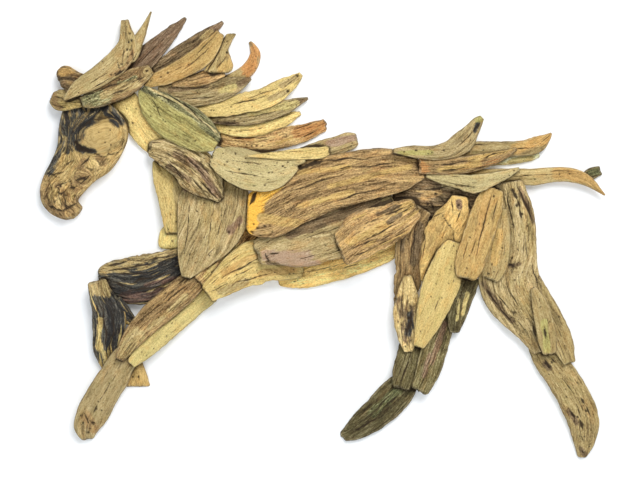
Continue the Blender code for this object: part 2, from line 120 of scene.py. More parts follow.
# The layers of the grain: length and width of a streak, its detail, its distortion and its weight.
GRAIN_LAYERS = {
    "band": (0.080, 0.0100, 4.0, 0.3, 0.27),
    "streak": (0.040, 0.0032, 4.0, 0.2, 0.28),
    "fibre": (0.018, 0.0013, 3.0, 0.0, 0.23),
    "speck": (0.0034, 0.0019, 2.0, 0.0, 0.22),
}
GRAIN_WAVE = 0.005                # how far the grain sways to the side
# The near-black brown that the finish darkens towards: painted shade in the seams between the slabs and
# along their edges, painted shade and grime in the hollows and the pits.
SHADE_AND_DIRT = (0.030, 0.018, 0.009)
WARM_TINT = (1.04, 0.88, 0.74)
MOSSY_TINT = (0.80, 0.83, 0.74)
GRIT_TINT = (0.66, 0.60, 0.50)
WORN_WOOD = (0.82, 0.70, 0.42)
PIT_CELLS = (120.0, 200.0, 1.0)   # cells that may hold a pit in a metre along and across the grain
# How far the pits and each mask darken the colour towards that brown: painted shade and grime in the pits
# and the hollows, painted shade in the seams and in the band along every edge.
PIT_SHADE_AND_DIRT = 0.80
MASK_SHADE_AND_DIRT = {"hollow": 0.96, "under": 0.40, "crevice": 0.93}
BUMP_STRENGTH = 0.8
WOOD_SHINE = 0.28

WALL_GAP = 0.001                  # the wall stands this far behind the flat backs
WALL_REACH = 4.0
WALL_TOP = 3.0
FLOOR_DROP = 0.7                  # from the lowest hoof to the floor
FLOOR_REACH = 5.0
# Place, size, share of the key light's power, and colour of each soft light. The one at the back shines on
# the backs of the slabs, through the wall, which lets light through.
LIGHTS = {
    "key": ((0.95, -2.2, 1.75), 1.8, 1.0, (1.0, 0.985, 0.96)),
    "fill": ((-1.9, -2.4, -0.2), 1.6, 0.16, (0.93, 0.96, 1.0)),
    "back": ((-0.8, 4.2, 2.0), 2.4, 0.9, (0.97, 0.98, 1.0)),
}
WALL_LIGHT = (0.90, 0.96, 1.0)
ROOM_LIGHT = (0.96, 0.98, 1.0)
SENSOR_WIDTH = 36.0               # of the camera, in millimetres


class WoodTones(PropertyGroup):
    """The light, middle and dark tone of every wood in WOODS."""


for wood, (light, middle, dark, rough) in WOODS.items():
    for tone, colour in (("light", light), ("middle", middle), ("dark", dark)):
        WoodTones.__annotations__ = {
            **getattr(WoodTones, "__annotations__", {}),
            wood.replace(" ", "_") + "_" + tone: FloatVectorProperty(
                name=f"{wood.capitalize()}, {tone}",
                description=f"The {tone} streaks of the {wood} wood",
                default=colour,
                subtype="COLOR",
                size=3,
                min=0.0,
                max=1.0,
            ),
        }


class Weathering(PropertyGroup):
    """How far the sea and the worms have worked on the wood."""

    groove_depth: FloatProperty(
        name="Groove depth",
        description="Depth of the grooves between the fibres",
        default=0.0009,
        unit="LENGTH",
    )
    split_depth: FloatProperty(
        name="Split depth",
        description="Depth of a drying split",
        default=0.0026,
        unit="LENGTH",
    )
    hole_depth: FloatProperty(
        name="Hole depth",
        description="Depth of a worm hole",
        default=0.0030,
        unit="LENGTH",
    )
    step_height: FloatProperty(
        name="Step height",
        description="Height of a step where a layer of wood has come away",
        default=0.0012,
        unit="LENGTH",
    )
    bump_distance: FloatProperty(
        name="Fibre height",
        description="Height of the finest fibres, finer than the mesh",
        default=0.0012,
        unit="LENGTH",
    )


class Studio(PropertyGroup):
    """The wall, the lights and the camera."""

    camera_distance: FloatProperty(
        name="Camera distance",
        description="From the camera to the wall",
        default=2.6,
        unit="LENGTH",
    )
    wall_colour: FloatVectorProperty(
        name="Wall",
        description="Colour of the wall and the floor",
        default=(0.86, 0.875, 0.89),
        subtype="COLOR",
        size=3,
        min=0.0,
        max=1.0,
    )
    key_power: FloatProperty(
        name="Key light",
        description="Power of the large soft light at the upper right",
        default=93.0,
        unit="POWER",
    )
    wall_glow: FloatProperty(
        name="Wall glow",
        description="Light that the wall gives back from the rest of the room",
        default=0.10,
    )
    sky_strength: FloatProperty(
        name="Room light",
        description="Strength of the even light of the room",
        default=0.26,
    )


def photo_place(pixel_x, pixel_y):
    """The (x, z) place in the frame of a pixel of the photograph."""
    return (pixel_x - ORIGIN_PIXEL[0]) * PIXEL, (ORIGIN_PIXEL[1] - pixel_y) * PIXEL


def smooth_step(low, high, value):
    """0 below low, 1 above high, and the curve 3t^2 - 2t^3 between them."""
    share = np.clip((value - low) / (high - low), 0, 1)
    return share * share * (3 - 2 * share)


def noise(along, across, seed):
    """Smooth random values from -1 to 1: one at each whole (along, across), eased between them."""
    rng = np.random.default_rng(seed)
    i, j = np.floor(along).astype(int), np.floor(across).astype(int)
    u, v = along - i, across - j
    u, v = u * u * (3 - 2 * u), v * v * (3 - 2 * v)
    i, j = i - i.min(), j - j.min()
    table = rng.uniform(-1, 1, (i.max() + 2, j.max() + 2))
    near = table[i, j] * (1 - u) + table[i + 1, j] * u
    far = table[i, j + 1] * (1 - u) + table[i + 1, j + 1] * u
    return near * (1 - v) + far * v


def layered_noise(along, across, seed, layers=3):
    """Noise plus noise of twice the pace and half the height, and so on, brought back to about -1 to 1."""
    total, height, reach = 0.0, 1.0, 0.0
    for layer in range(layers):
        total = total + height * noise(along * 2**layer, across * 2**layer, seed + 101 * layer)
        reach += height
        height *= 0.5
    return total / reach * 1.5


def segment_distance(x, z, mark):
    """How far points lie, in metres, from the stroke between two pixels of the photograph."""
    start, end = np.array(photo_place(*mark[:2])), np.array(photo_place(*mark[2:4]))
    run = end - start
    share = ((x - start[0]) * run[0] + (z - start[1]) * run[1]) / max(run @ run, 1e-12)
    share = np.clip(share, 0, 1)
    return np.hypot(x - start[0] - share * run[0], z - start[1] - share * run[1]), share


def smooth_curve(points, steps):
    """Points along the Catmull-Rom curve through the given ones, `steps` for each span."""
    known = np.vstack([2 * points[0] - points[1], points, 2 * points[-1] - points[-2]])
    share = np.arange(steps)[:, None] / steps
    spans = []
    for a, b, c, d in zip(known, known[1:], known[2:], known[3:]):
        spans.append(
            0.5 * (2 * b + (c - a) * share + (2 * a - 5 * b + 4 * c - d) * share**2
                   + (3 * b - a - 3 * c + d) * share**3)
        )
    return np.vstack([*spans, points[-1]])


def merged_node(name):
    """Corners and triangles of a CAD node, with the corners that coincide made one."""
    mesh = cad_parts[name].data
    mesh.calc_loop_triangles()
    corners = np.empty(len(mesh.vertices) * 3, np.float32)
    mesh.vertices.foreach_get("co", corners)
    faces = np.empty(len(mesh.loop_triangles) * 3, np.int32)
    mesh.loop_triangles.foreach_get("vertices", faces)
    corners = corners.reshape(-1, 3).astype(float)
    cells = np.round(corners / WELD).astype(np.int64)
    _, first, same = np.unique(cells, axis=0, return_index=True, return_inverse=True)
    return corners[first], same.reshape(-1)[faces].reshape(-1, 3)


def front_relief():
    """How far forward the pile of slabs stands over each cell of a grid on the wall.

    Points are spread over the faces of every CAD node, by random shares of two of a triangle's sides. A
    cell keeps the least y of the points that fall in it.
    """
    rng = np.random.default_rng(5)
    size = [int((CAD_BOX[1][k] - CAD_BOX[0][k]) / CELL) + 2 * CELL_MARGIN for k in (0, 2)]
    relief = np.zeros(size)
    for name in NODE_ORDER:
        corners, faces = merged_node(name)
        a, b, c = corners[faces].transpose(1, 0, 2)
        area = np.linalg.norm(np.cross(b - a, c - a), axis=1) / 2
        which = np.repeat(np.arange(len(faces)), np.ceil(3 * area / CELL**2).astype(int))
        share = rng.random((2, len(which), 1))
        share = np.where(share.sum(axis=0) > 1, 1 - share, share)
        places = a[which] + share[0] * (b - a)[which] + share[1] * (c - a)[which]
        np.minimum.at(relief, relief_cells(places[:, 0], places[:, 2]), places[:, 1])
    return relief


def relief_cells(x, z):
    """The rows and columns of the relief's grid at places in the frame."""
    row = np.floor((x - CAD_BOX[0].x) / CELL).astype(int) + CELL_MARGIN
    column = np.floor((z - CAD_BOX[0].z) / CELL).astype(int) + CELL_MARGIN
    return row, column


def seam_shade_depth(x, y, z):
    """How deep places lie between their neighbours, from 0 to 1: how strong the painted shade in the seams
    is there.

    It is the mean over places around them, of how far the pile stands in front there.
    """
    total, weight = 0 * x, 0.0
    for radius, share in SEAM_SHADE_RINGS:
        for turn in np.arange(8) * np.pi / 4:
            row, column = relief_cells(x + radius * np.cos(turn), z + radius * np.sin(turn))
            ahead = y - RELIEF[row, column]
            total = total + share * np.clip((ahead - SEAM_SHADE_STARTS) / SEAM_SHADE_RANGE, 0, 1)
            weight += share
    return np.clip(SEAM_SHADE_GAIN * total / weight, 0, 1)


def two_sides(corners, faces):
    """The two long sides of a slab as the viewer sees it, as (x, z) points in the same order.

    The outline parts the faces that look at the viewer from the others. Where the face beyond it stands
    square to the view, the outline is at an end of the slab, and elsewhere on a side.
    """
    a, b, c = corners[faces].transpose(1, 0, 2)
    normals = np.cross(b - a, c - a)
    facing = -normals[:, 1] / np.maximum(np.linalg.norm(normals, axis=1), 1e-15)
    owner = {}
    for k, (i, j, m) in enumerate(faces.tolist()):
        owner[i, j] = owner[j, m] = owner[m, i] = k
    following, at_end = {}, {}
    for (i, j), k in owner.items():
        beyond = owner.get((j, i))
        if beyond is not None and facing[k] > SQUARE_ON >= facing[beyond]:
            following[i] = j
            at_end[i] = facing[beyond] > -SQUARE_ON
    loop = [next(i for i in following if at_end[i])]
    while following[loop[-1]] != loop[0] and len(loop) <= len(following):
        loop.append(following[loop[-1]])
    ends, run = [], []
    shift = next(k for k in range(len(loop)) if not at_end[loop[k - 1]] and at_end[loop[k]])
    loop = loop[shift:] + loop[:shift]
    for k, i in enumerate(loop):
        if at_end[i]:
            run.append(k)
        elif run:
            ends.append(run)
            run = []
    places = corners[loop][:, [0, 2]]
    middles = [places[[r[0], (r[-1] + 1) % len(loop)]].mean(axis=0) for r in ends]
    gaps = {
        (p, q): np.linalg.norm(middles[p] - middles[q])
        for p in range(len(ends))
        for q in range(p + 1, len(ends))
    }
    first, last = (ends[k] for k in max(gaps, key=gaps.get))
    one = places[first[-1] + 1:last[0] + 1]
    other = np.vstack([places[last[-1] + 1:], places[:first[0] + 1]])[::-1]
    return one, other


def even_points(points, count):
    """The same polyline as `count` points at even distances."""
    reach = np.r_[0, np.cumsum(np.linalg.norm(np.diff(points, axis=0), axis=1))]
    wanted = np.linspace(0, reach[-1], count)
    return np.column_stack([np.interp(wanted, reach, points[:, k]) for k in range(2)])


class Slab:
    """The plan of one slab: its middle line, half width and thickness along the grain, and its back plane.

    Stations are pixels on its middle line with the half width there, and sides are pairs of pixels on its
    two sides. Without either, the two sides of the CAD node are taken.
    """

    def __init__(self, name, stations=None, sides=None):
        corners, faces = merged_node(name)
        if sides:
            pairs = np.array(sides, float)
            one, other = (np.column_stack(photo_place(pairs[:, k], pairs[:, k + 1])) for k in (0, 2))
            one, other = smooth_curve(one, 8), smooth_curve(other, 8)
            middle, half = (one + other) / 2, (other - one) / 2
        elif stations:
            curve = smooth_curve(np.array(stations, float), 6)
            middle = np.column_stack(photo_place(curve[:, 0], curve[:, 1]))
            run = np.gradient(middle, axis=0)
            run /= np.linalg.norm(run, axis=1)[:, None]
            reach = np.maximum(curve[:, 2], min(s[2] for s in stations))[:, None] * PIXEL
            half = np.column_stack([run[:, 1], -run[:, 0]]) * reach
        else:
            one, other = two_sides(corners, faces)
            if len(one) != len(other):
                count = max(len(one), len(other))
                one, other = even_points(one, count), even_points(other, count)
            one, other = smooth_curve(one, 5), smooth_curve(other, 5)
            middle, half = (one + other) / 2, (other - one) / 2
        if middle[0] @ (1, -1) > middle[-1] @ (1, -1):
            middle, half = middle[::-1], half[::-1]
        self.middle, self.half = middle, half
        self.along = np.r_[0, np.cumsum(np.linalg.norm(np.diff(middle, axis=0), axis=1))]
        self.length = self.along[-1]
        self.width = np.linalg.norm(half, axis=1).max()
        tree = BVHTree.FromPolygons(corners.tolist(), faces.tolist())
        inner = np.linspace(0.04, 0.96, 25) * self.length
        backs, fronts = [], []
        for here in inner:
            place = self.at(here)
            for share in (-0.5, 0.0, 0.5):
                x, z = place[0] + place[2] * share, place[1] + place[3] * share
                hit = tree.ray_cast(Vector((x, 1, z)), Vector((0, -1, 0)))[0]
                if hit is not None:
                    backs.append((1.0, x, z, hit.y))
            hit = tree.ray_cast(Vector((place[0], -1, place[1])), Vector((0, 1, 0)))[0]
            if hit is not None:
                fronts.append((here, place[0], place[1], hit.y))
        backs, fronts = np.array(backs), np.array(fronts)
        self.plane = np.linalg.lstsq(backs[:, :3], backs[:, 3], rcond=None)[0]
        deep = self.back(fronts[:, 1], fronts[:, 2]) - fronts[:, 3]
        kernel = np.array([1, 2, 3, 2, 1]) / 9
        deep = np.convolve(np.r_[deep[0], deep[0], deep, deep[-1], deep[-1]], kernel, "valid")
        self.deep_at, self.deep = fronts[:, 0], deep

    def at(self, along):
        """Middle line x, z and half-width vector x, z at distances along the grain."""
        columns = np.column_stack([self.middle, self.half])
        return [np.interp(along, self.along, column) for column in columns.T]

    def back(self, x, z):
        """The y of the flat back under (x, z)."""
        return self.plane[0] + self.plane[1] * x + self.plane[2] * z

    def thickness(self, along):
        """The slab's thickness on its middle line at distances along the grain."""
        return np.interp(along, self.deep_at, self.deep)


def section(width):
    """One turn round a slab: shares of the half width and of the thickness, and how exposed each point is.

    The front is (sin a, rim + (1 - rim) cos(a)^FRONT_POWER) for an angle a from -90 to 90 degrees: a broad
    flat face with tight shoulders. A quarter ellipse leads from the rim in to the back, which is flat.
    """
    count = int(np.ceil(FRONT_REACH * width / STEP_ACROSS)) // 2 * 2 + 8
    angle = np.linspace(-np.pi / 2, np.pi / 2, count + 1)
    rise = np.abs(np.cos(angle)) ** FRONT_POWER
    front = np.column_stack([np.sin(angle), RIM_HEIGHT + (1 - RIM_HEIGHT) * rise])
    exposed = smooth_step(0.0, 0.30, np.cos(angle))
    turn = np.linspace(0, np.pi / 2, SIDE_COLUMNS + 2)[1:]
    under = np.column_stack([BACK_WIDTH + (1 - BACK_WIDTH) * np.cos(turn), RIM_HEIGHT * (1 - np.sin(turn))])
    flat = np.linspace(BACK_WIDTH, -BACK_WIDTH, BACK_COLUMNS + 2)[1:-1]
    flat = np.column_stack([flat, np.zeros(BACK_COLUMNS)])
    ring = np.vstack([front, under, flat, (under * (-1, 1))[::-1]])
    return ring, np.r_[exposed, np.zeros(len(ring) - len(exposed))]


def row_places(length, first_round, last_round):
    """Distances of the grid rows along a slab: even, but closer where the two ends are rounded."""
    ease_in = 1 - np.cos(np.linspace(0, np.pi / 2, 6))
    count = max(int((length - first_round - last_round) / STEP_ALONG), 4)
    body = np.linspace(first_round, length - last_round, count)
    return np.r_[ease_in[:-1] * first_round, body, length - (ease_in[:-1] * last_round)[::-1]]


def crack_lines(along, across, seed, length, spacing):
    """1 on thin lines that wander along the grain, 0 between them: where smooth noise is close to zero."""
    level = noise(along / length, across / spacing, seed)
    level = level + 0.10 * noise(along / 0.012, across / 0.0030, seed + 1)
    fade = smooth_step(-0.05, 0.5, layered_noise(along / 0.022, across / 0.0060, seed + 2, 2))
    return (1 - smooth_step(0.02, 0.18, np.abs(level))) * fade


def within(mark, x, z, inner, outer):
    """1 inside a stroke, 0 beyond it, eased between two shares of the radius that the stroke gives."""
    far, _ = segment_distance(x, z, mark)
    return 1 - smooth_step(inner, outer, far / (mark[4] * PIXEL))


def split_cut(mark, x, z, wander, breadth):
    """Where the wood is open along a stroke: the split wanders about it and is thin at both ends."""
    far, share = segment_distance(x, z, mark)
    start, end = np.array(photo_place(*mark[:2])), np.array(photo_place(*mark[2:4]))
    run = (end - start) / max(np.linalg.norm(end - start), 1e-9)
    aside = (x - start[0]) * run[1] - (z - start[1]) * run[0]
    past = np.sqrt(np.maximum(far**2 - aside**2, 0))
    wander = min(mark[4], 1.0) * PIXEL * wander
    thin = mark[4] * PIXEL * (1 - np.abs(2 * share - 1) ** 1.6) * breadth
    return 1 - smooth_step(0.35, 1.15, np.hypot(aside + wander, past) / np.maximum(thin, 0.0001))


def grooves(look, along, across, x, z, seed):
    """How deep the surface lies below its smooth form, and how much of a hollow each point is.

    Fibres are noise drawn out along the grain, with thin open lines between them. Steps are where slow
    noise passes zero. A split is a wandering stroke with pointed ends, and a hole is a round pit. What
    along and across are divided by is the length, in metres, of one wave of the noise.
    """
    wear = bpy.context.scene.driftwood_weathering
    rough, fibre = look["rough"], look["fibre"]
    bent = across + look["swirl"] * layered_noise(along / 0.045, across / 0.018, seed + 1, 2)
    coarse = layered_noise(along / 0.050, bent / (3.2 * fibre), seed + 2, 2)
    fine = layered_noise(along / 0.014, bent / fibre, seed + 3, 2)
    uneven = layered_noise(along / 0.007, bent / 0.0045, seed + 8, 2)
    lines = crack_lines(along, bent, seed + 11, 0.110, 0.0048)
    lines = np.maximum(lines, 0.8 * crack_lines(along, bent, seed + 14, 0.070, 0.0028))
    depth = wear.groove_depth * rough * (1.0 + 1.0 * lines - 0.45 * coarse - 0.38 * fine - 0.30 * uneven)
    lumps = 1 - np.abs(layered_noise(x / 0.013 + 0.3 * coarse, z / 0.013, seed + 17, 4))
    depth = depth + look["lumps"] * lumps
    slow = layered_noise(along / 0.095, bent / 0.0085, seed + 4, 3)
    step = smooth_step(0.0, 0.07, slow) + 0.6 * smooth_step(0.46, 0.52, slow)
    depth = np.maximum(depth, 0) + wear.step_height * look["steps"] * step
    edge = smooth_step(-0.10, 0.0, slow) * (1 - smooth_step(0.0, 0.10, slow)) * min(look["steps"], 1.0)
    hollow = np.maximum(0.40 * lines * min(rough, 1.3), 0.24 * edge)
    hollow = np.maximum(hollow, smooth_step(0.86, 0.99, lumps) * min(look["lumps"] / 0.0012, 1) * 0.55)
    for mark in look["smooths"]:
        worn = 1 - 0.8 * within(mark, x, z, 0.75, 1.05)
        depth, hollow = depth * worn, hollow * worn
    wander = noise(along / 0.018, 0 * along, seed + 5) + 0.3 * noise(along / 0.007, 0 * along, seed + 6)
    breadth = 0.8 + 0.45 * noise(along / 0.006, 0 * along, seed + 7)
    for mark in look["splits"]:
        cut = split_cut(mark, x, z, wander, breadth)
        depth = np.maximum(depth, wear.split_depth * cut)
        hollow = np.maximum(hollow, cut)
    for pixel_x, pixel_y, radius in look["holes"]:
        centre_x, centre_z = photo_place(pixel_x, pixel_y)
        pit = 1 - smooth_step(0.50, 1.15, np.hypot(x - centre_x, z - centre_z) / (radius * PIXEL))
        depth = np.maximum(depth, wear.hole_depth * pit)
        hollow = np.maximum(hollow, pit)
    return depth, np.clip(hollow, 0, 1)


def photo_pixel(x, z):
    """The pixel of the photograph that shows an (x, z) place in the frame."""
    return x / PIXEL + ORIGIN_PIXEL[0], ORIGIN_PIXEL[1] - z / PIXEL


def stray_marks(slab, look, seed):
    """Splits and worm holes at random places on a slab, as many as its look asks for."""
    rng = np.random.default_rng(seed + 77)
    splits, holes = list(look["splits"]), list(look["holes"])
    for _ in range(int(look["stray_splits"] * slab.length * 40)):
        here, share = rng.uniform(0.03, 0.8) * slab.length, rng.uniform(-0.8, 0.8)
        there = min(here + rng.uniform(0.010, 0.045), slab.length)
        stroke = []
        for along in (here, there):
            x, z, half_x, half_z = slab.at(along)
            stroke += photo_pixel(x + half_x * share, z + half_z * share)
        splits.append((*stroke, rng.uniform(0.35, 0.7)))
    for _ in range(int(look["stray_holes"] * slab.length * slab.width * 2500)):
        x, z, half_x, half_z = slab.at(rng.uniform(0.05, 0.95) * slab.length)
        share = rng.uniform(-0.75, 0.75)
        place = photo_pixel(x + half_x * share, z + half_z * share)
        holes.append((*place, rng.uniform(0.55, 1.1)))
    return {**look, "splits": splits, "holes": holes}


def patch_mask(look, marks, x, z, along, across, seed):
    """Where a second wood shows: within each stroke's radius, with a border that frays along the grain.

    Flecks of the first wood are left in it where fine noise is high.
    """
    mask = np.zeros_like(x)
    fray = layered_noise(along / 0.016, across / 0.0026, seed + 9, 3)
    blot = layered_noise(along / 0.012, across / 0.009, seed + 10, 3)
    border = look["fray"] * (0.25 * fray + 0.22 * blot)
    for mark in marks:
        far, _ = segment_distance(x, z, mark)
        mask = np.maximum(mask, 1 - smooth_step(0.75, 1.15, far / (mark[4] * PIXEL) + border))
    fleck = layered_noise(along / 0.012, across / 0.0034, seed + 13, 2)
    return mask * (1 - look["flecks"] * smooth_step(0.30, 0.50, fleck))


def streak_mask(share, along, across, seed):
    """Streaks of a second wood along the grain, over about that share of the slab."""
    level = layered_noise(along / 0.050, across / 0.0042, seed + 12, 3)
    return smooth_step(0.9 - 1.8 * share, 1.05 - 1.8 * share, level) if share else 0 * along


def splintered_end(look, cross, half, seed):
    """How far wood has splintered off an end, at shares of the width. A pointed end keeps its tip."""
    ragged = 0.5 + 0.6 * layered_noise(cross * half / 0.0034, 0 * cross, seed, 3)
    return look["rag"] * PIXEL * np.clip(ragged, 0, 1.3) * (half > POINTED_END)


def rounded_ends(rows, length, rounds):
    """1 along a slab, and down to 0 at its two ends as a quarter circle goes."""
    shrink = np.ones_like(rows)
    for distance, radius in ((rows, rounds[0]), (length - rows, rounds[1])):
        shrink = shrink * np.sqrt(np.clip(1 - (1 - np.minimum(distance / radius, 1)) ** 2, 0, 1))
    return shrink


def width_left(slab, look, along, cross, reach, shrink, seed):
    """The share of the half width that is left: less at the rounded ends and where a side has worn away."""
    side = np.where(cross > 0, 30, 60)
    waver = 0.55 * layered_noise(along / 0.018 + side, 0 * along, seed + 6, 3)
    waver = np.clip(0.35 + waver + 0.30 * noise(along / 0.0055 + side, 0 * along, seed + 15), 0, 1.4)
    narrow = 0.72 + 0.28 * shrink
    narrow = narrow - np.minimum(look["waver"] * PIXEL * waver / reach, 0.22) * np.abs(cross) ** 3
    return narrow + look["spread"] * PIXEL / slab.width


def front_slopes(slab, look, along, cross, seed):
    """Shares of the height: slow swells, and two slopes that fall from a ridge along the slab."""
    slopes = look["facets"] * np.random.default_rng(seed + 50).uniform(0.04, 0.30, 2)
    ridge = 0.55 * layered_noise(along / 0.070, 0 * along, seed + 16, 2)
    fall = np.sqrt((cross - ridge) ** 2 + 0.01) - 0.1
    fall = 1 - np.where(cross > ridge, slopes[0], slopes[1]) * fall
    swell = layered_noise(along / 0.030, cross * slab.width / 0.012, seed + 7, 2)
    return 1 - 0.08 * np.clip(1 + swell, 0, 2), fall


def distance_across(points, crest, look, x, z):
    """How far each point lies from the crest, measured over the surface, or from a knot nearby."""
    lateral = np.linalg.norm(np.diff(points, axis=1, prepend=points[:, -1:]), axis=2)
    across = np.cumsum(lateral, axis=1)
    across = across - across[:, crest:crest + 1]
    for mark in look["rings"]:
        far, _ = segment_distance(x, z, mark)
        across = across + within(mark, x, z, 0.6, 1.3) * (far - across)
    return across


def tube_faces(count, columns):
    """Quads of a closed tube of points, and the triangles that close each of its two ends at a pole."""
    index = np.arange(count * columns).reshape(count, columns)
    right, below = np.roll(index, -1, axis=1), index[1:]
    quads = np.stack([index[:-1], below, right[1:], right[:-1]], axis=-1).reshape(-1, 4)
    first = np.column_stack([np.full(columns, index.size), index[0], right[0]])
    last = np.column_stack([np.full(columns, index.size + 1), right[-1], index[-1]])
    return quads, np.vstack([first, last])


def with_poles(values):
    """The values of a grid, and the middle values of its first and its last row."""
    rows, columns = values.shape[:2]
    return np.vstack([values.reshape(rows * columns, -1), values[0].mean(axis=0), values[-1].mean(axis=0)])


def slab_shell(slab, look, seed):
    """The weathered surface of a slab.

    Rows run across the grain and columns along it. A point is the middle line plus a share of the half
    width, and the back plane less a share of the thickness. Close to the two ends both shrink as a quarter
    circle does. The ends and the sides are set in by random amounts where wood has splintered off. The
    point then moves in along the surface normal by the depth of the grooves.
    """
    ring, exposed = section(slab.width)
    cross, out = ring[:, 0][None], ring[:, 1][None]
    ends = [np.linalg.norm(slab.half[k]) for k in (0, -1)]
    rounds = [np.clip(look["round"] * half, SMALLEST_ROUND, LARGEST_ROUND) for half in ends]
    rows = row_places(slab.length, *rounds)[:, None]
    set_back = [splintered_end(look, cross, half, seed + 20 + k) for k, half in enumerate(ends)]
    along = set_back[0] + rows / slab.length * (slab.length - set_back[0] - set_back[1])
    x, z, half_x, half_z = slab.at(along)
    reach = np.hypot(half_x, half_z)
    shrink = rounded_ends(rows, slab.length, rounds)
    narrow = width_left(slab, look, along, cross, reach, shrink, seed)
    x, z = x + half_x * cross * narrow, z + half_z * cross * narrow
    swell, fall = front_slopes(slab, look, along, cross, seed)
    thin = 0.30 + 0.70 * shrink
    depth = out * slab.thickness(along) * look["height"] * thin * swell * fall
    for mark in look["domes"]:
        far, _ = segment_distance(x, z, mark)
        depth = depth + mark[5] * np.clip(1 - (far / (mark[4] * PIXEL)) ** 2, 0, None) ** 1.2 * exposed
    points = np.stack([x, slab.back(x, z) - depth, z], axis=-1)
    crest = len(exposed[exposed > 0]) // 2
    across = distance_across(points, crest, look, x, z)
    sunk, hollow = grooves(stray_marks(slab, look, seed), along, across, x, z, seed)
    turn = np.roll(points, -1, axis=1) - np.roll(points, 1, axis=1)
    normal = np.cross(np.gradient(points, axis=0), turn)
    normal /= np.maximum(np.linalg.norm(normal, axis=2), 1e-12)[..., None]
    quads, caps = tube_faces(*points.shape[:2])
    if normal[len(rows) // 2, crest, 1] > 0:
        normal, quads, caps = -normal, quads[:, ::-1], caps[:, ::-1]
    points = points - normal * (np.minimum(sunk, 0.45 * depth + 0.0002) * exposed)[..., None]
    points[..., 1] = np.minimum(points[..., 1], 0)
    to_edge = np.minimum((1 - np.abs(cross)) * reach, np.minimum(rows, slab.length - rows))
    # Width of the band of painted shade along every edge.
    shading = 0.0009 + 0.0007 * layered_noise(along / 0.010, cross / 0.3, seed + 18, 2)
    top = np.minimum(slab.back(x, z) - slab.thickness(along) * look["height"], points[..., 1])
    calm = np.zeros_like(x)
    for mark in look["smooths"]:
        calm = np.maximum(calm, within(mark, x, z, 0.6, 1.2))
    layers = {
        "points": points,
        "grain": np.stack([along, across, np.full_like(along, GRAIN_APART * seed)], axis=-1),
        "calm": calm,
        # Painted shade in the seams against the neighbouring slabs, on the front only.
        "crevice": look["crevice"] * seam_shade_depth(x, top, z) * (out >= RIM_HEIGHT),
        "hollow": hollow * exposed,
        "rim": (1 - smooth_step(0.0, WORN_EDGE, to_edge)) * exposed,
        # Painted shade in a band along every edge of the slab, darkest at the edge.
        "under": 1 - smooth_step(0.3, 1.0, to_edge / np.maximum(shading, 0.0002)),
        "patch": np.maximum(
            patch_mask(look, look["patches"], x, z, along, across, seed),
            streak_mask(look["streaks"], along, across, seed),
        ),
        "stripe": patch_mask(look, look["stripes"], x, z, along, across, seed + 40),
    }
    shell = {key: with_poles(values) for key, values in layers.items()}
    return {**shell, "quads": quads, "caps": caps}


def wood_mesh(name, shells):
    """One mesh from closed shells, with the grain and the masks kept on its points."""
    base, quads, caps = 0, [], []
    for shell in shells:
        quads.append(shell["quads"] + base)
        caps.append(shell["caps"] + base)
        base += len(shell["points"])
    points, quads, caps = np.vstack([shell["points"] for shell in shells]), np.vstack(quads), np.vstack(caps)
    mesh = bpy.data.meshes.new(name)
    mesh.vertices.add(len(points))
    mesh.vertices.foreach_set("co", points.astype(np.float32).ravel())
    mesh.loops.add(quads.size + caps.size)
    mesh.loops.foreach_set("vertex_index", np.r_[quads.ravel(), caps.ravel()].astype(np.int32))
    starts = np.r_[np.arange(len(quads)) * 4, quads.size + np.arange(len(caps)) * 3]
    mesh.polygons.add(len(quads) + len(caps))
    mesh.polygons.foreach_set("loop_start", starts.astype(np.int32))
    mesh.update(calc_edges=True)
    mesh.validate()
    mesh.shade_smooth()
    attribute = mesh.attributes.new("grain", "FLOAT_VECTOR", "POINT")
    grain = np.vstack([shell["grain"] for shell in shells])
    attribute.data.foreach_set("vector", grain.astype(np.float32).ravel())
    for key in MASKS:
        values = np.concatenate([shell[key].ravel() for shell in shells])
        attribute = mesh.attributes.new(key, "FLOAT", "POINT")
        attribute.data.foreach_set("value", values.astype(np.float32))
    return mesh


def add_node(tree, kind, inputs=(), **settings):
    """A shader node with its settings and inputs. An input is a socket to link or a value to set."""
    node = tree.nodes.new(kind)
    for key, value in settings.items():
        setattr(node, key, value)
    for key, value in dict(inputs).items():
        if isinstance(value, bpy.types.NodeSocket):
            tree.links.new(value, node.inputs[key])
        else:
            node.inputs[key].default_value = value
    return node


def add_group(tree, name, maker, inputs):
    """A node that uses the node group of that name, which is made the first time it is asked for."""
    group = bpy.data.node_groups.get(name) or maker(name)
    return add_node(tree, "ShaderNodeGroup", inputs, node_tree=group)


def calculate(tree, operation, *values):
    """A Math node's result."""
    return add_node(tree, "ShaderNodeMath", enumerate(values), operation=operation).outputs[0]


def point_mask(tree, name):
    """One of the masks that are kept on a mesh's points."""
    return add_node(tree, "ShaderNodeAttribute", attribute_name=name).outputs["Fac"]


def blend_colours(tree, share, first, second, mode="MIX"):
    """A Mix node's colour: the first, and the second as far as share goes."""
    if not isinstance(second, bpy.types.NodeSocket):
        second = (*second[:3], 1.0)
    inputs = {0: share, 6: first, 7: second}
    return add_node(tree, "ShaderNodeMix", inputs, data_type="RGBA", blend_type=mode).outputs[2]


def ease(tree, value, low, high):
    """The value eased from 0 at low to 1 at high, by a Map Range node."""
    inputs = {"Value": value, "From Min": low, "From Max": high}
    return add_node(tree, "ShaderNodeMapRange", inputs, interpolation_type="SMOOTHSTEP").outputs[0]


def new_group(name, inputs, outputs):
    """An empty node group with named sockets, and its input and output nodes."""
    tree = bpy.data.node_groups.new(name, "ShaderNodeTree")
    for label, kind, default in inputs:
        socket = tree.interface.new_socket(name=label, in_out="INPUT", socket_type="NodeSocket" + kind)
        if default is not None:
            socket.default_value = default
    for label, kind in outputs:
        tree.interface.new_socket(name=label, in_out="OUTPUT", socket_type="NodeSocket" + kind)
    return tree, tree.nodes.new("NodeGroupInput").outputs, tree.nodes.new("NodeGroupOutput").inputs


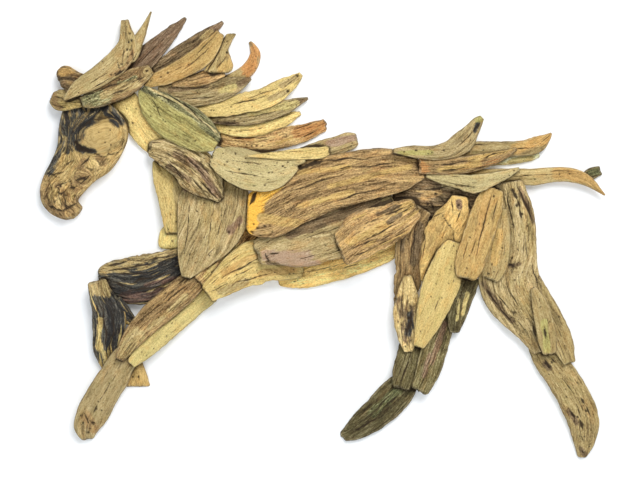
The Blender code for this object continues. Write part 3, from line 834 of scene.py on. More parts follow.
def stretched_noise(tree, grain, length, width, detail, distortion=0.0):
    """Noise in the grain's own coordinates, `length` long and `width` wide."""
    scale = (1 / length, 1 / width, 1.0)
    placed = add_node(tree, "ShaderNodeVectorMath", {0: grain, 1: scale}, operation="MULTIPLY").outputs[0]
    inputs = {"Vector": placed, "Scale": 1.0, "Detail": detail, "Roughness": 0.6, "Distortion": distortion}
    return add_node(tree, "ShaderNodeTexNoise", inputs).outputs[0]


def grain_group(name):
    """Wood in long streaks: the layers of GRAIN_LAYERS are noise drawn out along the grain.

    Their weighted sum runs from the dark tone through the middle one to the light one. Height follows
    the fibres, so that a dark one lies lower.
    """
    tree, given, made = new_group(
        name,
        [
            ("Light", "Color", None),
            ("Middle", "Color", None),
            ("Dark", "Color", None),
            ("Balance", "Float", 0.0),
            ("Contrast", "Float", 1.0),
        ],
        [("Color", "Color"), ("Height", "Float")],
    )
    grain = add_node(tree, "ShaderNodeAttribute", attribute_name="grain").outputs["Vector"]
    wave = stretched_noise(tree, grain, 0.040, 0.016, 2.0)
    wave = calculate(tree, "MULTIPLY", calculate(tree, "SUBTRACT", wave, 0.5), GRAIN_WAVE)
    shift = add_node(tree, "ShaderNodeCombineXYZ", {"Y": wave}).outputs[0]
    grain = add_node(tree, "ShaderNodeVectorMath", {0: grain, 1: shift}, operation="ADD").outputs[0]
    total, layers = 0.0, {}
    for layer, (length, width, detail, distortion, weight) in GRAIN_LAYERS.items():
        layers[layer] = stretched_noise(tree, grain, length, width, detail, distortion)
        total = calculate(tree, "MULTIPLY_ADD", layers[layer], weight, total)
    total = calculate(tree, "SUBTRACT", total, 0.5)
    total = calculate(tree, "MULTIPLY", total, given["Contrast"])
    total = calculate(tree, "ADD", total, given["Balance"])
    colour = blend_colours(tree, ease(tree, total, -0.10, 0.0), given["Dark"], given["Middle"])
    colour = blend_colours(tree, ease(tree, total, 0.0, 0.10), colour, given["Light"])
    tree.links.new(colour, made["Color"])
    height = calculate(tree, "MULTIPLY_ADD", layers["streak"], 0.7, layers["fibre"])
    height = calculate(tree, "MULTIPLY_ADD", layers["speck"], 0.8, height)
    tree.links.new(height, made["Height"])
    return tree


def wear_and_shade_group(name):
    """What weather does to any wood, and the shade painted into its colour.

    Slow noise leans the colour towards a warm or a mossy tint, and fine noise leaves grit in the pores.
    Rims are worn pale where noise lets them be. The hollows and the pits, which are the centres of scattered
    cells, are darkened with painted shade and grime, and the seams between the slabs and the band along
    every edge with painted shade.
    """
    tree, given, made = new_group(
        name,
        [
            ("Color", "Color", None),
            ("Height", "Float", 0.5),
            ("Roughness", "Float", 0.8),
            ("Dirt", "Color", (*SHADE_AND_DIRT, 1.0)),
            ("Pits", "Float", 0.5),
            ("Tints", "Float", 1.0),
        ],
        [("Color", "Color"), ("Roughness", "Float"), ("Height", "Float")],
    )
    grain = add_node(tree, "ShaderNodeAttribute", attribute_name="grain").outputs["Vector"]
    warm = ease(tree, stretched_noise(tree, grain, 0.026, 0.012, 4.0, 0.5), 0.48, 0.70)
    warm = calculate(tree, "MULTIPLY", warm, given["Tints"])
    colour = blend_colours(tree, warm, given["Color"], WARM_TINT, "MULTIPLY")
    elsewhere = add_node(tree, "ShaderNodeVectorMath", {0: grain, 1: (0.31, 0.17, 5.0)}, operation="ADD")
    moss = ease(tree, stretched_noise(tree, elsewhere.outputs[0], 0.022, 0.010, 4.0, 0.5), 0.48, 0.70)
    moss = calculate(tree, "MULTIPLY", moss, given["Tints"])
    colour = blend_colours(tree, moss, colour, MOSSY_TINT, "MULTIPLY")
    grit = ease(tree, stretched_noise(tree, grain, 0.0030, 0.0018, 3.0), 0.46, 0.60)
    colour = blend_colours(tree, calculate(tree, "MULTIPLY", grit, 0.75), colour, GRIT_TINT, "MULTIPLY")
    mottle = stretched_noise(tree, grain, 0.010, 0.004, 4.0)
    worn = calculate(tree, "MULTIPLY", point_mask(tree, "rim"), ease(tree, mottle, 0.42, 0.62))
    colour = blend_colours(tree, calculate(tree, "MULTIPLY", worn, 0.40), colour, WORN_WOOD)
    cells = add_node(tree, "ShaderNodeVectorMath", {0: grain, 1: PIT_CELLS}, operation="MULTIPLY").outputs[0]
    points = add_node(tree, "ShaderNodeTexVoronoi", {"Vector": cells, "Scale": 1.0}).outputs
    some = add_node(tree, "ShaderNodeSeparateColor", {0: points["Color"]}).outputs[0]
    pit = calculate(tree, "SUBTRACT", 1.0, ease(tree, points["Distance"], 0.08, 0.20))
    pit = calculate(tree, "MULTIPLY", pit, calculate(tree, "LESS_THAN", some, given["Pits"]))
    # Painted shade and grime in the pits and the hollows, painted shade in the seams and along the edges.
    shade_and_dirt = calculate(tree, "MULTIPLY", pit, PIT_SHADE_AND_DIRT)
    for key, strength in MASK_SHADE_AND_DIRT.items():
        shading = calculate(tree, "MULTIPLY", point_mask(tree, key), strength)
        shade_and_dirt = calculate(tree, "MAXIMUM", shade_and_dirt, shading)
    tree.links.new(blend_colours(tree, shade_and_dirt, colour, given["Dirt"]), made["Color"])
    rough = calculate(tree, "SUBTRACT", given["Roughness"], 0.08)
    rough = calculate(tree, "MULTIPLY_ADD", mottle, 0.16, rough)
    tree.links.new(calculate(tree, "MULTIPLY_ADD", shade_and_dirt, 0.1, rough), made["Roughness"])
    tree.links.new(calculate(tree, "SUBTRACT", given["Height"], pit), made["Height"])
    return tree


def wood_nodes(tree, wood, tone, balance, contrast):
    """The grain group with the tones of one wood, times `tone`, and plainer where it is worn smooth."""
    tones = bpy.context.scene.driftwood_tones
    contrast = calculate(tree, "MULTIPLY_ADD", point_mask(tree, "calm"), -0.7 * contrast, contrast)
    inputs = {"Balance": balance, "Contrast": contrast}
    for label in ("Light", "Middle", "Dark"):
        colour = getattr(tones, f"{wood.replace(' ', '_')}_{label.lower()}")
        inputs[label] = (*[min(channel * tone, 1.0) for channel in colour], 1.0)
    return add_group(tree, "Long grain", grain_group, inputs).outputs


def wood_material(name, look):
    """The finish of one slab: its wood, a second and a third wood where its marks say, the weather and
    painted shade.
    """
    material = bpy.data.materials.new(name)
    material.use_nodes = True
    tree = material.node_tree
    shader = tree.nodes["Principled BSDF"]
    made = wood_nodes(tree, look["wood"], look["tone"], look["balance"], look["contrast"])
    colour = made["Color"]
    for key, where in (("second", "patch"), ("third", "stripe")):
        if look[key]:
            other = wood_nodes(tree, look[key], 1.0, 0.0, look["contrast"])
            colour = blend_colours(tree, point_mask(tree, where), colour, other["Color"])
    inputs = {
        "Color": colour,
        "Height": made["Height"],
        "Roughness": WOODS[look["wood"]][3],
        "Pits": look["pits"],
        "Tints": look["tints"],
    }
    weather = add_group(tree, "Weather", wear_and_shade_group, inputs).outputs
    height = bpy.context.scene.driftwood_weathering.bump_distance
    inputs = {"Height": weather["Height"], "Strength": BUMP_STRENGTH, "Distance": height}
    tree.links.new(weather["Color"], shader.inputs["Base Color"])
    tree.links.new(weather["Roughness"], shader.inputs["Roughness"])
    tree.links.new(add_node(tree, "ShaderNodeBump", inputs).outputs["Normal"], shader.inputs["Normal"])
    shader.inputs["Specular IOR Level"].default_value = WOOD_SHINE
    return material


# What a slab looks like where its own line says nothing else. Lengths are in metres, but rag, waver, spread
# and the marks are in pixels of the photograph.
PLAIN = {
    "wood": "tan",          # its wood, and those that show in its patches and its stripes
    "second": None,
    "third": None,
    "tone": 1.0,            # what the tones of its wood are multiplied by
    "balance": 0.0,         # above 0 more of its streaks are light, below 0 more are dark
    "contrast": 1.0,        # how far streaks differ
    "streaks": 0.0,         # share of the slab where the second wood streaks through
    "fray": 1.0,            # how far the borders of patches and stripes fray
    "flecks": 0.0,          # how much of the first wood is left in them
    "tints": 0.7,           # strength of the warm and the mossy tints
    "pits": 0.12,           # share of the cells that hold a pit
    "rough": 1.0,           # depth of the grooves
    "fibre": 0.0020,        # width of a fibre
    "swirl": 0.0010,        # how far the grain bends
    "steps": 0.6,           # height of the steps where a layer has come away
    "lumps": 0.0001,        # height of the lumps of a root
    "facets": 1.0,          # steepness of the two slopes of the front
    "crevice": 1.0,         # how dark the painted shade in the seams against its neighbours is
    "round": 0.30,          # radius of its ends, as a share of their half width
    "rag": 1.0,             # how far its ends have splintered off
    "waver": 0.9,           # how far its sides have worn away
    "spread": 1.0,          # how much wider it is drawn, against what its sides lose
    "height": 1.0,          # share of the CAD slab's thickness
    "stray_splits": 0.5,    # how many splits and worm holes are strewn over it
    "stray_holes": 0.6,
    "domes": (),            # raised places: a stroke, its radius, and its height in metres
    "rings": (),            # knots that the grain runs round: a stroke and its radius
    "smooths": (),          # places worn smooth: a stroke and its radius
    "patches": (),          # where the second wood shows: a stroke and its radius
    "stripes": (),          # where the third wood shows: a stroke and its radius
    "splits": (),           # drying splits: a stroke and its half width
    "holes": (),            # worm holes: a place and its radius
}

NODE_ORDER = sorted(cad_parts)
RELIEF = front_relief()


def weather_slab(name, wood, stations=None, sides=None, branch=None, **changes):
    """Replaces one CAD slab by its weathered surface, which keeps the slab's outline and thickness."""
    look = {**PLAIN, "wood": wood, **changes}
    seed = 11 + 13 * NODE_ORDER.index(name)
    shells = [slab_shell(Slab(name, stations, sides), look, seed)]
    if branch:
        shells.append(slab_shell(Slab(name, branch), {**look, "height": 0.86}, seed + 5))
    mesh = wood_mesh(name + "_wood", shells)
    piece = bpy.data.objects.new(name + "_wood", mesh)
    bpy.context.scene.collection.objects.link(piece)
    mesh.materials.append(wood_material(name + "_finish", look))
    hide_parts(name)
    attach(piece, "root")
    return piece


# The head from the poll to the lips: a place on the brow and nose, then the one across from it on the jaw.
HEAD_SIDES = (
    (70, 98, 104, 99), (61, 109, 117, 110), (57.5, 127, 126, 124), (56, 145, 127.5, 138),
    (49.5, 161, 120, 156), (43, 173, 109, 171), (39, 184, 94, 181), (38, 193, 83, 192),
    (40, 203, 77, 200), (47, 212, 81, 207), (55, 217, 78, 213), (63, 220, 73, 218),
)


class DRIFTWOOD_OT_head(Operator):
    """Weathers the burl of the head, the ears and the forelock"""

    bl_idname = "driftwood.head"
    bl_label = "Head and forelock"

    def execute(self, context):
        weather_slab(
            "head", "burl", second="char", third="brown", tone=1.082, contrast=1.5, fray=1.0, flecks=0.5,
            rough=1.1, fibre=0.0026, swirl=0.007, steps=0.8, lumps=0.0020, facets=0.6, crevice=0.0,
            round=0.5, rag=0.0, waver=0.2, spread=0.0, stray_splits=0.5, stray_holes=0.4, sides=HEAD_SIDES,
            domes=(
                (96, 137, 109, 133, 19, 0.0100), (60, 197, 58, 205, 14, 0.003),
                (78, 163, 70, 172, 9, 0.004),
            ),
            rings=((96, 139, 108, 134, 24), (82, 178, 84, 179, 12)), smooths=((92, 140, 110, 133, 16),),
            patches=(
                # The first two patches put char in the eye slit: painted shade.
                (76, 146.5, 84, 150, 4.2), (84, 150, 95, 152.4, 3.0), (61, 111, 80, 109, 12),
                (80, 109, 104, 106, 9.5), (106, 109, 120, 121, 7), (67, 122, 75, 134, 11),
                (60, 120, 58, 138, 10), (58, 138, 53, 154, 8), (53, 154, 46, 170, 7.5),
                (80, 124, 96, 115, 8), (74, 137, 66, 150, 5),
            ),
            stripes=(
                (84, 176, 76, 186, 7), (66, 205, 76, 211, 7), (48, 206, 62, 216, 7),
                (100, 158, 104, 163, 4), (44, 180, 41, 196, 5), (58, 186, 66, 196, 4),
                (86, 160, 80, 168, 4), (74, 205, 78, 200, 5),
            ),
            splits=(
                (76, 147, 98, 152.5, 4.4), (75, 142, 81, 150, 4.6), (90, 156, 80, 167, 2.0),
                (94, 153.5, 103, 157.5, 1.4), (101, 157.5, 121, 152, 1.2), (120, 152, 127, 138, 1.0),
                (52, 188, 66, 182, 1.4), (55, 197, 68, 189, 1.3), (45, 206, 64, 213, 1.8),
                (60, 213, 78, 203, 1.8), (76, 199, 86, 198, 2.6), (76, 181, 90, 177, 1.8),
                (96, 160, 99, 167, 1.3), (44, 173, 60, 179, 1.5), (78, 129, 92, 119, 1.6),
                (92, 119, 112, 117, 1.4), (62, 166, 76, 160, 1.1), (70, 190, 78, 186, 1.4),
                (48, 182, 52, 196, 1.4), (84, 168, 94, 172, 1.1), (50, 176, 66, 172, 1.2),
                (54, 184, 60, 192, 1.2), (68, 180, 74, 190, 1.2),
            ),
            holes=(
                (80, 148.5, 3.0), (85, 150.5, 2.6), (78.5, 147.5, 3.8), (82.5, 149.5, 3.0),
                (87.5, 151, 2.6), (92, 151.5, 1.8), (76, 143, 2.6), (58, 192, 2.0), (72, 188, 1.8),
                (66, 206, 2.0), (112, 146, 1.1), (103, 162, 1.2), (84, 179, 2.4), (60, 186, 1.4),
                (66, 196, 1.6), (74, 196, 1.5), (54, 202, 1.4),
            ),
        )
        weather_slab(
            "brow_stub", "tan", second="straw", third="brown", tone=0.972, steps=1.0,
            patches=((62, 105, 78, 104, 5),), stripes=((50, 94, 54, 100, 4), (52, 103, 60, 108, 3)),
            splits=((52, 95, 64, 99, 1.2), (56, 106, 66, 108, 1.0)),
        )
        weather_slab(
            "ear_knob", "brown", second="dark", third="rust", tone=0.85, rough=1.2, swirl=0.004, steps=1.0,
            lumps=0.0010, round=0.9,
            patches=((58, 80, 68, 88, 5), (64, 76, 76, 80, 3)), stripes=((60, 70, 70, 68, 5),),
        )
        weather_slab(
            "poll_crest", "brown", second="moss", third="tan", tone=0.736, contrast=1.5, flecks=0.4,
            rough=1.4, steps=1.0, spread=1.5,
            rings=((146, 70, 147, 70, 7),), patches=((86, 102, 104, 97, 8), (120, 84, 134, 78, 3)),
            stripes=((104, 96, 134, 82, 4), (146, 74, 151, 68, 5), (120, 92, 138, 84, 3)),
            splits=(
                (96, 92, 122, 82, 1.4), (108, 98, 132, 86, 1.3), (130, 84, 146, 74, 1.2),
                (86, 96, 98, 92, 1.2),
            ),
            holes=((104, 94, 1.0), (146, 70, 1.6)),
        )
        weather_slab(
            "forelock_fork", "tan", second="brown", tone=0.87, balance=0.02, contrast=0.9, rough=0.9,
            steps=0.5, rag=0.5, waver=0.5, spread=0.0,
            stations=(
                (65, 100.5, 1.5), (80, 88, 8.5), (101, 75, 11.5), (118, 60.5, 12.5), (126.5, 44, 10),
                (124.5, 28, 6), (123, 17.5, 3.8),
            ),
            branch=((127, 60, 7), (131, 52, 8), (139, 35, 5.5), (144, 23, 3), (149.5, 9, 0.9)),
            patches=((128, 66, 132, 52, 3), (124, 68, 112, 76, 2.5)),
            splits=(
                (131, 42, 134, 60, 1.4), (123, 46, 124, 68, 1.0), (114, 76, 130, 67, 1.9),
                (118, 60, 122, 72, 0.9), (90, 92, 112, 78, 0.8),
            ),
            holes=(
                (129, 32, 1.5), (131, 39, 1.9), (128, 41, 1.4), (127, 49, 1.5), (130, 49, 1.3),
                (132, 54, 1.4), (128, 56, 1.2), (133, 59, 1.6), (128, 63, 1.6), (122, 64, 1.4),
                (102, 61, 1.2), (121, 72, 1.9), (116, 74, 1.6), (112, 75, 1.2), (131, 66, 1.4),
            ),
        )
        return {"FINISHED"}


class DRIFTWOOD_OT_mane(Operator):
    """Weathers the locks of the mane"""

    bl_idname = "driftwood.mane"
    bl_label = "Mane"

    def execute(self, context):
        weather_slab(
            "mane_lock_01", "purple", tone=0.784, contrast=1.2, steps=1.0,
            splits=((140, 58, 160, 38, 0.8), (150, 60, 166, 40, 0.6)),
        )
        weather_slab(
            "mane_lock_02", "dark", second="purple", third="tan", tone=1.15, contrast=1.2,
            patches=((212, 29, 222, 19, 7),), stripes=((204, 36, 208, 32, 5),),
            splits=((160, 62, 196, 40, 0.8),),
        )
        weather_slab(
            "mane_lock_03", "honey", second="rust", tone=0.88, contrast=0.9, rough=0.5, steps=0.35,
            stray_splits=0.2,
            patches=((160, 76, 186, 68, 7),), splits=((180, 72, 212, 46, 0.9), (192, 58, 216, 34, 0.8)),
            holes=((160, 76, 1.3), (167, 72, 1.5), (150, 80, 1.0)),
        )
        weather_slab(
            "mane_lock_04", "tan", second="honey", third="brown", rough=0.5, steps=0.35, rag=1.5, waver=1.2,
            stray_splits=0.2,
            sides=(
                (203, 73, 229, 73), (206, 66, 233, 65), (211, 57, 230.5, 57), (215.5, 48, 227.5, 49),
                (220, 40, 230.5, 41), (226, 31, 236, 31),
            ),
            patches=((222, 68, 234, 60, 6),), stripes=((230, 50, 234, 62, 2),),
            splits=((206, 72, 222, 46, 1.2), (216, 68, 228, 54, 0.9)),
            holes=((227, 51, 1.8), (224, 40, 0.8)),
        )
        weather_slab(
            "mane_lock_05", "brown", tone=1.402,
            splits=((176, 82, 214, 74, 0.8),), holes=((186, 79, 1.1), (214, 70, 1.0)),
        )
        weather_slab(
            "mane_lock_06", "grey tan", second="green", third="dark", tone=0.92, contrast=1.2,
            patches=((222, 90, 234, 86, 4),), stripes=((170, 88, 206, 84, 3.5), (240, 82, 252, 77, 4)),
            splits=((172, 100, 216, 96, 0.7), (180, 90, 210, 86, 0.7)),
        )
        weather_slab(
            "mane_hook", "copper", second="tan", third="brown", tone=1.1, contrast=0.8, rough=0.5,
            steps=0.2, waver=0.2, spread=0.2, stray_splits=0.1,
            stations=(
                (214, 81, 4), (230, 77.5, 5.6), (243, 71.5, 6.8), (251, 63, 6.6), (254.6, 53, 5.4),
                (252.5, 45.5, 3.6), (249, 39.5, 1.4),
            ),
            patches=((218, 80, 236, 75, 8),), stripes=((250, 43, 249, 38, 2.6), (258, 56, 258, 62, 1.4)),
        )
        weather_slab(
            "mane_lock_07", "straw", second="straw", third="tan", tone=1.13, contrast=1.0, rough=0.5,
            steps=0.35, rag=2.5, waver=1.8, stray_splits=0.2,
            patches=((222, 100, 262, 90, 4), (262, 90, 290, 76, 4)),
            stripes=((282, 84, 296, 76, 3.5), (270, 99, 286, 90, 3)),
            splits=((222, 106, 272, 94, 1.0), (240, 100, 286, 84, 0.7)),
            holes=((213, 110, 0.9), (288, 90, 2.0), (297, 74, 1.6)),
        )
        weather_slab(
            "mane_lock_08", "grey tan", second="dark", third="green", tone=0.95, contrast=1.3,
            patches=((212, 123, 236, 123, 2.6), (300, 101, 309, 97, 4)), stripes=((250, 112, 296, 102, 4),),
            splits=((212, 124, 240, 122, 1.4), (238, 118, 280, 110, 0.8)),
            holes=((217, 121, 1.5), (222, 123, 1.4), (228, 122, 1.3), (234, 120, 1.2), (244, 121, 0.9)),
        )
        weather_slab(
            "mane_lock_09", "straw", tone=1.32, rough=0.5, steps=0.35, stray_splits=0.2,
            splits=((232, 131, 268, 127, 0.5),), holes=((226, 124, 0.8), (240, 131, 0.9)),
        )
        weather_slab(
            "mane_lock_10", "brown", second="copper", third="honey", tone=1.751, contrast=1.3, rag=4.0,
            patches=((300, 132, 330, 121, 8), (236, 136, 252, 138, 2.5)),
            stripes=((276, 143, 291, 137, 1.6),),
            splits=((228, 138, 268, 137, 1.2), (290, 130, 322, 119, 1.0), (300, 138, 318, 130, 1.2)),
            holes=((246, 144, 1.3), (251, 145, 1.3), (256, 145, 1.4), (262, 145, 1.2), (325, 117, 2.0)),
        )
        weather_slab(
            "mane_lock_11", "straw", tone=1.034, rough=0.5, steps=0.35, rag=3.0, stray_splits=0.2,
            sides=(
                (247, 156.2, 248, 157.4), (257, 154.2, 258, 158.4), (268, 152.8, 269, 159),
                (284, 150.8, 287, 159.6), (301, 148.6, 305, 158.8), (317, 147.2, 321, 157.4),
                (329, 145.6, 331, 153),
            ),
            splits=((262, 152, 300, 151, 0.5),), holes=((246, 152, 0.9), (255, 154, 0.9)),
        )
        weather_slab(
            "mane_lock_12", "grey tan", second="pink", tone=1.22, steps=0.8,
            patches=((330, 142, 354, 137, 4),), holes=((338, 141, 0.8),),
        )
        return {"FINISHED"}


class DRIFTWOOD_OT_neck(Operator):
    """Weathers the neck, the withers and the chest"""

    bl_idname = "driftwood.neck"
    bl_label = "Neck and chest"

    def execute(self, context):
        weather_slab(
            "neck_leaf", "leaf", second="moss", third="pale", tone=1.067, contrast=1.1, fray=0.5, rough=0.8,
            steps=0.3, facets=0.4, spread=2.4, stray_splits=0.2,
            patches=((144, 86, 168, 96, 6), (168, 96, 196, 113, 7.5), (196, 113, 221, 137, 7.5)),
            stripes=((148, 88, 176, 101, 1.2), (176, 101, 216, 132, 1.3), (168, 92, 198, 108, 1.0)),
            splits=(
                (150, 84, 214, 124, 1.0), (146, 90, 180, 106, 0.9), (150, 96, 160, 118, 0.7),
                (180, 100, 218, 136, 1.0),
            ),
            holes=((153, 106, 1.0), (163, 120, 1.0), (195, 141, 1.1)),
        )
        weather_slab(
            "neck_front_strip", "straw", tone=1.285, contrast=0.75, rough=0.5, steps=0.35, stray_splits=0.2,
            holes=((131, 122, 1.3), (125, 108, 0.8), (144, 142, 0.8)),
        )
        weather_slab(
            "neck_slab", "grey tan", second="dark", third="purple", tone=1.188, contrast=1.6, streaks=0.16,
            rough=1.9, swirl=0.004, steps=2.0, rag=2.5, waver=2.2, stray_splits=1.6,
            patches=((176, 154, 200, 166, 4), (204, 172, 218, 196, 4), (168, 166, 190, 180, 3)),
            stripes=((190, 160, 206, 174, 3.0), (204, 176, 214, 190, 3)),
            splits=(
                (182, 152, 208, 180, 2.0), (166, 160, 190, 184, 1.6), (200, 180, 218, 200, 1.8),
                (160, 150, 176, 158, 1.4), (190, 176, 206, 194, 1.4),
            ),
        )
        weather_slab(
            "withers_pad", "pale", tone=0.982, contrast=0.85, pits=0.5, rough=0.45, steps=0.2, crevice=0.25,
            rag=3.0, waver=1.0, stray_splits=0.1, stray_holes=1.5,
            branch=((276, 164, 5), (290, 162.5, 4.6), (299, 161.5, 3.4), (305.5, 161, 1.2)),
            splits=((224, 170, 266, 178, 0.8), (232, 160, 270, 166, 0.7)),
            holes=((227, 162, 1.1), (277, 163, 0.9), (283, 166, 1.3), (288, 162, 1.0), (266, 166, 0.8)),
        )
        # This slab is seen in the gap between the mane and the back, and its dark wood paints the shade of
        # that gap.
        weather_slab("withers_slab", "dark", rough=1.4)
        weather_slab(
            "chest_strip", "straw", second="tan", tone=0.977, contrast=0.7, rough=0.5, steps=0.35,
            stray_splits=0.2,
            patches=((176, 176, 182, 226, 5),), holes=((164, 188, 0.8), (170, 214, 0.9), (168, 229, 0.9)),
        )
        weather_slab(
            "chest_block", "straw", tone=1.546, contrast=0.7, rough=0.5, steps=0.35, stray_splits=0.2,
            holes=((171, 241, 1.3), (165, 234, 0.8)),
        )
        weather_slab(
            "chest_slab", "grey tan", second="purple", third="tan", tone=1.15, contrast=1.0, rough=1.2,
            steps=1.0, spread=2.0, stray_splits=1.0,
            patches=((184, 186, 196, 182, 5), (230, 230, 240, 220, 4)), stripes=((206, 200, 216, 244, 7),),
            splits=((190, 205, 184, 260, 0.9), (216, 190, 206, 258, 0.7), (228, 200, 214, 246, 0.6)),
            holes=((197, 211, 1.1), (229, 232, 1.6), (222, 200, 0.9), (190, 254, 1.3)),
        )
        return {"FINISHED"}


class DRIFTWOOD_OT_forelegs(Operator):
    """Weathers the raised and the reaching foreleg and the brisket"""

    bl_idname = "driftwood.forelegs"
    bl_label = "Forelegs"

    def execute(self, context):
        weather_slab(
            "raised_forearm", "char", second="tan", third="plum", tone=0.85, contrast=1.5, streaks=0.16,
            fray=1.6, flecks=0.5, rough=1.8, steps=2.0, waver=1.6, stray_splits=1.4, stray_holes=0.2,
            patches=((102, 268, 140, 260, 8), (140, 258, 178, 248, 8)),
            stripes=((124, 299, 164, 296, 6), (146, 286, 176, 278, 3)),
            splits=(
                (128, 292, 170, 284, 2.0), (112, 274, 150, 274, 1.6), (104, 272, 156, 262, 2.2),
                (124, 284, 176, 270, 1.6), (132, 262, 176, 254, 1.6), (110, 282, 130, 288, 1.4),
                (104, 266, 130, 260, 1.6),
            ),
        )
        weather_slab(
            "raised_shin", "char", second="straw", third="tan", contrast=1.5, streaks=0.28, fray=1.6,
            flecks=0.3, rough=1.7, steps=1.6,
            stations=(
                (96, 280, 9), (101, 297, 12), (108, 315, 16.5), (107.5, 335, 15.5), (105.5, 352, 13),
                (108, 373, 6),
            ),
            branch=((112, 300, 8), (123, 315, 8), (134.5, 324, 4)),
            patches=((99, 320, 97, 346, 2.6), (98, 346, 105, 366, 3)),
            stripes=((91, 285, 106, 285, 7), (94, 291, 108, 292, 4)),
            splits=((102, 298, 106, 352, 1.6), (114, 314, 108, 366, 1.6), (96, 300, 98, 330, 1.2)),
        )
        weather_slab("raised_hoof", "honey", rough=0.6, steps=0.3, holes=((131, 378, 1.3), (137, 378, 1.2)))
        weather_slab(
            "reaching_shin", "grey tan", second="brown", contrast=0.68, steps=0.6, rag=1.5,
            patches=((86, 418, 92, 428, 6),),
            splits=(
                (84, 412, 88, 426, 1.6), (92, 414, 98, 404, 1.2), (118, 372, 98, 404, 0.6),
                (88, 420, 94, 428, 0.9),
            ),
            holes=(
                (82, 424, 1.5), (87, 434, 1.4), (96, 410, 1.2), (80, 416, 1.2), (109, 384, 0.9),
                (98, 402, 1.0), (92, 424, 1.8), (89, 430, 1.2), (84, 410, 0.8),
            ),
        )
        weather_slab(
            "forearm_yellow_strip", "green", tone=1.2, contrast=0.58, rough=0.5, steps=0.35,
            stray_splits=0.2,
            holes=((142, 352, 0.9), (176, 320, 0.7)),
        )
        weather_slab(
            "forearm_brown_strip", "brown", second="tan", tone=0.95, contrast=1.4, rough=1.3, steps=1.0,
            stray_splits=1.0, stray_holes=1.6,
            patches=((126, 350, 136, 336, 9), (186, 296, 150, 328, 3)),
            splits=((196, 278, 162, 306, 0.8), (184, 282, 158, 304, 0.6)),
        )
        weather_slab(
            "shoulder_sliver", "brown", second="straw", tone=1.884, contrast=1.5, streaks=0.12, rough=1.4,
            steps=1.2, spread=3.0,
            patches=((238, 248, 224, 262, 3.5), (214, 266, 206, 276, 3)),
            splits=((236, 240, 210, 268, 2.0),), holes=((222, 246, 1.3), (212, 272, 1.4)),
        )
        weather_slab(
            "brisket", "straw", second="honey", third="tan", tone=1.08, contrast=0.7, steps=0.9,
            crevice=0.6, rag=1.0,
            patches=((262, 274, 292, 270, 4), (226, 272, 256, 256, 4)), stripes=((222, 292, 246, 282, 4),),
            splits=((222, 278, 262, 256, 1.4), (232, 284, 272, 272, 1.0), (210, 292, 230, 282, 1.0)),
            holes=((290, 274, 1.2), (268, 262, 1.0)),
        )
        return {"FINISHED"}


class DRIFTWOOD_OT_body(Operator):
    """Weathers the long slabs of the back and the belly"""

    bl_idname = "driftwood.body"
    bl_label = "Back and belly"

    def execute(self, context):
        weather_slab(
            "back_slab", "brown", second="orange", third="honey", tone=1.081, contrast=1.45, fray=0.5,
            rough=1.5, fibre=0.0018, swirl=0.0012, steps=0.8, rag=0.0, waver=0.9, stray_splits=1.3,
            stray_holes=0.3,
            smooths=((249, 196, 247, 230, 13),),
            patches=((244, 194, 244, 236, 9), (262, 188, 250, 222, 9), (278, 184, 262, 196, 6)),
            stripes=(
                (300, 206, 352, 192, 3), (330, 186, 410, 166, 3), (262, 218, 300, 224, 5),
                (300, 172, 350, 166, 2.5),
            ),
            # The first split paints the shade of the gap beneath the withers.
            splits=(
                (297, 167.5, 326, 160, 4.6), (257, 191, 249, 206, 4.2), (300, 160, 372, 158, 1.6),
                (286, 192, 350, 172, 1.3), (320, 206, 392, 184, 1.2), (340, 168, 410, 162, 1.2),
                (270, 184, 276, 178, 2.0), (297, 168, 318, 160, 2.6),
            ),
            # The first four holes paint the shade of the gap beneath the withers.
            holes=(
                (300, 166.5, 3.6), (306, 165, 3.2), (312, 163.5, 2.8), (319, 162, 2.2), (258, 228, 1.7),
                (265, 226, 1.5), (252, 232, 1.6), (260, 236, 1.4), (272, 232, 1.2), (254, 224, 1.1),
            ),
        )
        weather_slab(
            "belly_plank", "grey tan", second="pink", third="dark", tone=1.14, contrast=1.0, rough=1.1,
            steps=0.7, rag=3.0, waver=1.6,
            smooths=((282, 257, 300, 259, 8),),
            patches=((266, 255, 276, 258, 6.0), (272, 258, 306, 259, 8.5), (300, 262, 318, 264, 4)),
            # The first two stripes of dark wood, along the top of the plank under the back slab, are painted
            # shade.
            stripes=((290, 232, 340, 214, 7), (340, 214, 376, 200, 6), (268, 262, 286, 268, 2.5)),
            splits=(
                (264, 251, 271, 265, 1.7), (271, 266, 290, 268.5, 1.7), (290, 268.5, 306, 266, 1.2),
                (268, 254, 280, 252, 1.2), (268, 262, 286, 268, 1.2), (300, 240, 350, 224, 0.7),
                (326, 256, 352, 244, 0.6),
            ),
        )
        weather_slab(
            "flank_slab", "brown", second="honey", third="dark", tone=1.28, contrast=1.3, streaks=0.2,
            fray=1.6, rough=1.7, steps=1.3, rag=1.5, waver=2.3, stray_splits=2.0,
            sides=(
                (333, 236, 345, 267), (346, 219, 366, 258), (360, 211, 382, 250), (378, 206, 398, 241),
                (398, 200, 412, 229), (412, 198, 423, 214),
            ),
            patches=(
                (392, 218, 406, 209, 1.5), (399, 216, 413, 207, 1.2), (407, 218, 419, 210, 1.1),
                (350, 242, 384, 226, 5), (396, 208, 414, 202, 4),
            ),
            stripes=((378, 214, 398, 206, 3.0), (388, 222, 400, 214, 2.2)),
            splits=(
                (384, 216, 404, 206, 1.8), (346, 250, 380, 238, 1.2), (360, 244, 400, 222, 1.1),
                (352, 256, 372, 250, 1.2), (398, 214, 416, 204, 1.0),
            ),
        )
        # Its tone is raised to make up for the shade the belly plank casts on it: painted light.
        weather_slab(
            "belly_strip", "rust", second="honey", tone=1.95, contrast=0.8, steps=0.6, crevice=0.25,
            splits=((300, 274, 350, 262, 0.6),), holes=((303, 284, 0.9), (336, 270, 0.8), (372, 262, 0.8)),
        )
        return {"FINISHED"}


